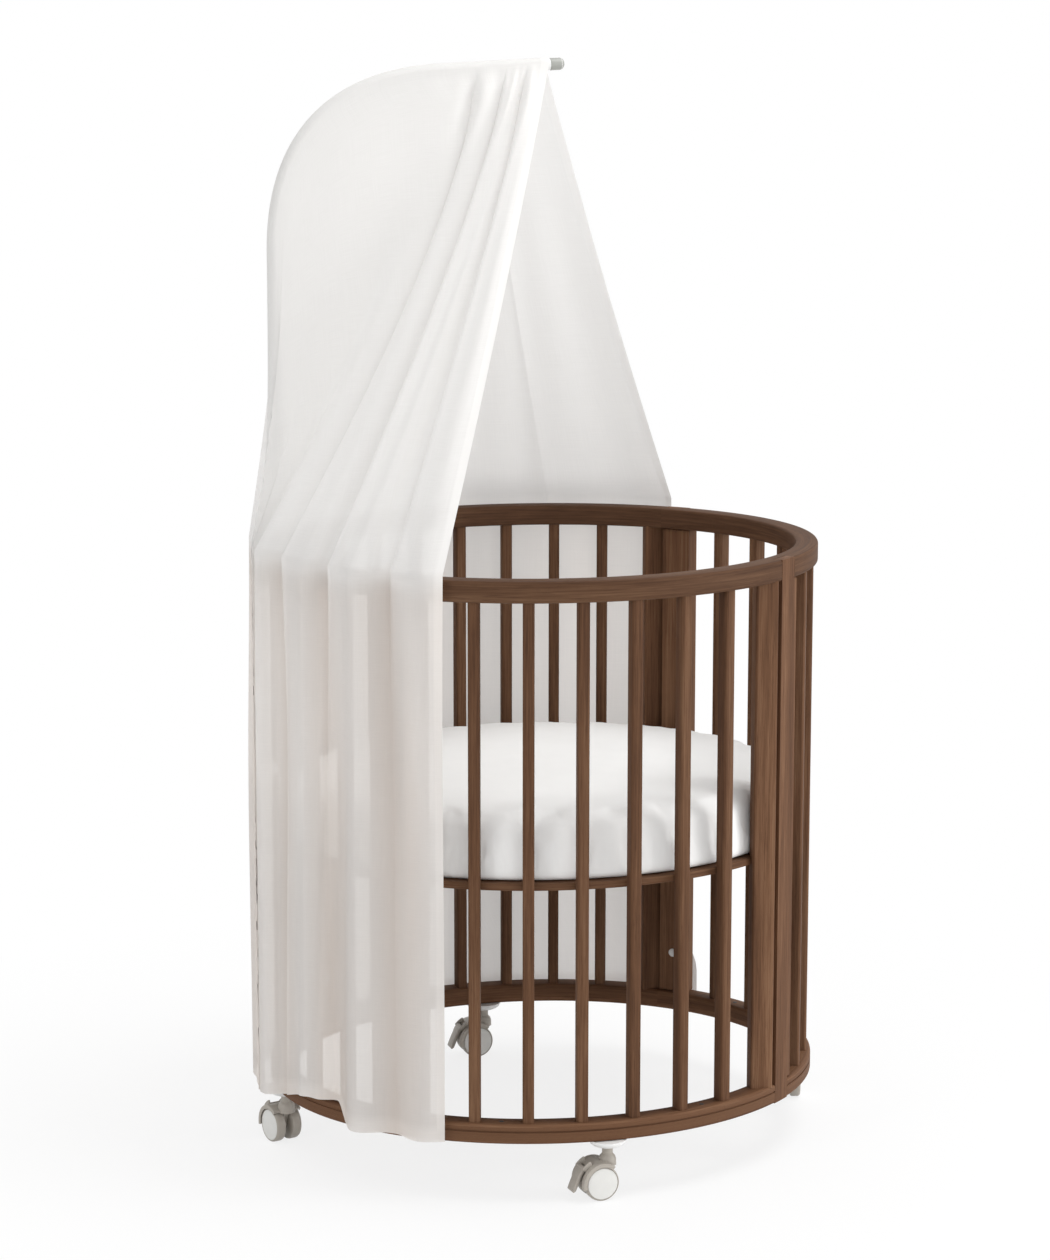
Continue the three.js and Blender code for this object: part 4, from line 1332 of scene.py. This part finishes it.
# Points round the axle: angle 0 looks to the rear and 90 straight up.
def arc(radius, start, end, steps=24):
    x, z = casterSizes["trail"], casterSizes["wheelRadius"]
    angles = [math.radians(start + (end - start) * i / steps) for i in range(steps + 1)]
    return [(x + radius * math.cos(angle), z + radius * math.sin(angle)) for angle in angles]


def wheelPair():
    sizes = casterSizes
    r, w, d = sizes["wheelRadius"], sizes["wheelWidth"], sizes["discRadius"]
    tyre = [(0.006, 0.0), (r - 0.003, 0.0), (r - 0.0008, 0.0009), (r, 0.003), (r, w - 0.004)]
    tyre += [(r - 0.0004, w - 0.0022), (r - 0.0012, w - 0.0008), (d + 0.0004, w - 0.0002)]
    tyre += [(d, w - 0.0012), (0.006, w - 0.0012)]
    disc = [(d - 0.0002, w - 0.0012), (d - 0.0006, w - 0.0004), (d * 0.6, w + 0.0006), (0.0, w + 0.0011)]
    parts = []
    for side in (1, -1):
        for profile, material in ((tyre, greige), (disc, discPlastic)):
            profile = [(radius, z + sizes["wheelGap"] / 2) for radius, z in profile]
            parts.append(rotated(turned("wheel", profile, material, 64), side * -math.pi / 2))
    pair = joined("wheel_pair", parts + [pin("hub", 0.0028, 0.012)])
    return moved(pair, sizes["trail"], 0, sizes["wheelRadius"])


def hood():
    sizes = casterSizes
    wide = 2 * sizes["wheelWidth"] + sizes["wheelGap"]
    inner, outer, inside = sizes["hoodInner"], sizes["hoodOuter"], sizes["cheekInside"]
    rear, front, low = sizes["hoodRear"], sizes["hoodFront"], sizes["cheekRear"]
    fender = arc(outer, rear, front) + arc(inner, front, rear)
    parts = [plate("fender", fender, wide + 0.002, sizes["hoodEdge"], greige)]
    lip = arc(outer, low, front) + arc(sizes["lipInner"], front, low)
    cheek = arc(outer, low, rear + 1, 14) + arc(inner, rear + 1, low, 14)
    cheekWidth = wide / 2 + 0.001 - inside
    cheekPlace = inside + cheekWidth / 2
    lipPlace = wide / 2 + sizes["lipGap"] + sizes["lipThickness"] / 2
    for side in (-1, 1):
        parts.append(moved(plate("lip", lip, sizes["lipThickness"], 0.0004, greige), 0, side * lipPlace))
        parts.append(moved(plate("cheek", cheek, cheekWidth, 0.0008, greige), 0, side * cheekPlace))
        parts.append(moved(ear(), 0, side * (sizes["leverWidth"] / 2 + sizes["earGap"])))
    web = arc(inner + 0.001, rear, front) + arc(0.008, 160, 380, 16)
    parts.append(plate("web", web, sizes["wheelGap"] - sizes["webGap"], 0.0, greige))
    neck = [(0.0, 0.046), (0.0125, 0.046), (0.0122, 0.0545), (0.0108, 0.0585), (0.0090, 0.0605)]
    neck += [(sizes["neckRadius"], 0.0625), (sizes["neckRadius"], sizes["cupSeat"]), (0.0, sizes["cupSeat"])]
    return joined("caster_hood", parts + [turned("neck", neck, greige)])


def ear():
    place, radius = casterSizes["leverPin"], casterSizes["leverPinRadius"]
    ends = (place - 4, place + 22)
    outline = arc(radius + 0.0035, *ends, 8) + arc(casterSizes["hoodInner"] + 0.0006, *ends[::-1], 8)
    return plate("ear", outline, casterSizes["earThickness"], 0.0005, greige)


# The lever hangs on its pin behind the wheels and flares out to the toe that is pressed.
def lever():
    sizes = casterSizes
    top = sizes["leverPin"] + 1
    outline = [(0.0292, top), (0.0294, 28), (0.0300, 16), (0.0316, 4), (0.0342, -7), (0.0372, -14)]
    outline += [(0.0412, -16), (0.0424, -13)]
    outline += [(0.0392, -5), (0.0362, 6), (0.0346, 18), (0.0342, 30), (0.0346, top)]
    outline = [arc(radius, turn, turn, 1)[0] for radius, turn in outline]
    blade = plate("blade", outline, sizes["leverWidth"], 0.0009, greige)
    x, z = arc(sizes["leverPinRadius"], sizes["leverPin"], sizes["leverPin"], 1)[0]
    return joined("lever", [blade, moved(pin("knuckle", 0.003, sizes["leverPinHalf"]), x, 0, z)])


# White dome under the rail that takes the caster's stem.
def cup(low, high):
    mouth, radius = casterSizes["cupMouth"], casterSizes["cupRadius"]
    profile = [(0.0088, low - 0.0004), (mouth, low)]
    for turn in quarterTurn(12)[1:]:
        profile.append((mouth + (radius - mouth) * math.sin(turn), high - (high - low) * math.cos(turn)))
    return turned("cup", profile + [(0.0, high)], whitePlastic, 64)


def jointNamed(name):
    return next(joint for joint in frame["record"]["behaviour"]["joints"] if joint["name"] == name)


def addCaster(panel):
    swivel = jointNamed(f"{panel}_caster_swivel")["pos_m"]
    axle = jointNamed(f"{panel}_wheel_spin")["axis"]
    turn = Matrix.Rotation(math.atan2(-axle[0], axle[1]), 4, "Z")
    low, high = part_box(f"{panel}_caster_cup")
    made = [
        (hood(), f"{panel}_swivel", "caster_hood", "caster_plastic"),
        (wheelPair(), f"{panel}_wheels", "caster_wheels", "caster_wheel"),
        (lever(), f"{panel}_brake", "brake_lever", "caster_plastic"),
        (cup(low[2], high[2]), "frame", "caster_cup", "white_plastic"),
    ]
    for piece, body, node, slot in made:
        piece.data.transform(Matrix.Translation((swivel[0], swivel[1], 0)) @ turn)
        piece.name = f"{panel}_{node}_shell"
        finish(piece, 35, body, slot, f"{panel}_{node}")


for panel in panelAngles:
    addCaster(panel)
print("casters made")


studio = {
    "position": (-1.342, -4.8035, 1.671),
    "yaw": 0.264,
    "pitch": -0.179,
    "focal": 3514.0,
    "centre": (513.0, 609.0),
    "frame": (1050, 1260),
    "sensor": 36,
    "worldLevel": 0.74,
    "floorWhite": 0.80,
    "shadow": (0.55, 1.25),
}
lamps = {
    "key": {"place": (-3.6, -2.6, 1.8), "target": (0, 0, 0.6), "size": 1.4, "power": 26},
    "fill": {"place": (0.6, -4.6, 0.9), "target": (0, 0, 0.4), "size": 2.0, "power": 10},
    "top": {"place": (1.3, -0.6, 4.2), "target": (0, 0, 0.5), "size": 2.0, "power": 66},
    "right": {"place": (3.5, -1.9, 1.0), "target": (0, 0, 0.4), "size": 1.8, "power": 56},
}


# The ray's kinds, and whether it is the camera's own or its mirror image.
def shownRays(maker):
    path = maker.shader("LightPath")
    return path, path.math("MAXIMUM", path.out("Is Glossy Ray"))


# The floor looks white and keeps a pale shadow that fades out round the crib.
def stageMaterial(maker):
    place = maker.shader("TexCoord", output=3)
    radius = maker.shader("VectorMath", [place], output=1, operation="LENGTH")
    far = maker.shader("MapRange", [radius, *studio["shadow"], studio["floorWhite"], 1.0])
    lit = maker.shader("BsdfDiffuse", {"Color": (0.88, 0.88, 0.88, 1)})
    plain = maker.shader("Emission", {"Color": (1, 1, 1, 1), "Strength": 1.0})
    return maker.shader("MixShader", [shownRays(maker)[1] * far, lit, plain])


def addFloor():
    bpy.ops.mesh.primitive_plane_add(size=24)
    floor = bpy.context.object
    floor.name = "floor"
    floor.data.materials.append(newMaterial("studio_floor", stageMaterial))


def addHolder(name, data, place):
    holder = bpy.data.objects.new(name, data)
    holder.location = place
    bpy.context.scene.collection.objects.link(holder)
    return holder


def addCamera():
    camera = bpy.data.cameras.new("camera")
    width, height = studio["frame"]
    camera.sensor_width = studio["sensor"]
    camera.lens = studio["focal"] / height * studio["sensor"]
    camera.shift_x = (width / 2 - studio["centre"][0]) / height
    camera.shift_y = (studio["centre"][1] - height / 2) / height
    holder = addHolder("camera", camera, crib["centre"] + Vector(studio["position"]))
    holder.rotation_euler = (math.pi / 2 + studio["pitch"], 0, -studio["yaw"])
    bpy.context.scene.camera = holder


def addLamp(name, place, target, size, power):
    lamp = bpy.data.lights.new(name, "AREA")
    lamp.shape = "DISK"
    lamp.size = size
    lamp.energy = power
    facing = Vector(target) - Vector(place)
    addHolder(name, lamp, place).rotation_euler = facing.to_track_quat("-Z", "Y").to_euler()


def addWorld():
    world = bpy.data.worlds.new("studio")
    world.use_nodes = True
    world.node_tree.nodes.clear()
    maker = Maker(world.node_tree)
    path, seen = shownRays(maker)
    seen = seen.math("MAXIMUM", path.out("Is Transmission Ray"))
    strength = studio["worldLevel"] + seen * (1 - studio["worldLevel"])
    shown = maker.shader("Background", {"Color": (1, 1, 1, 1), "Strength": strength})
    maker.shader("OutputWorld", {"Surface": shown})
    bpy.context.scene.world = world


addFloor()
addCamera()
addWorld()
for name, lamp in lamps.items():
    addLamp(name, **lamp)
bpy.context.scene.view_settings.view_transform = "Standard"

print("scene ready")
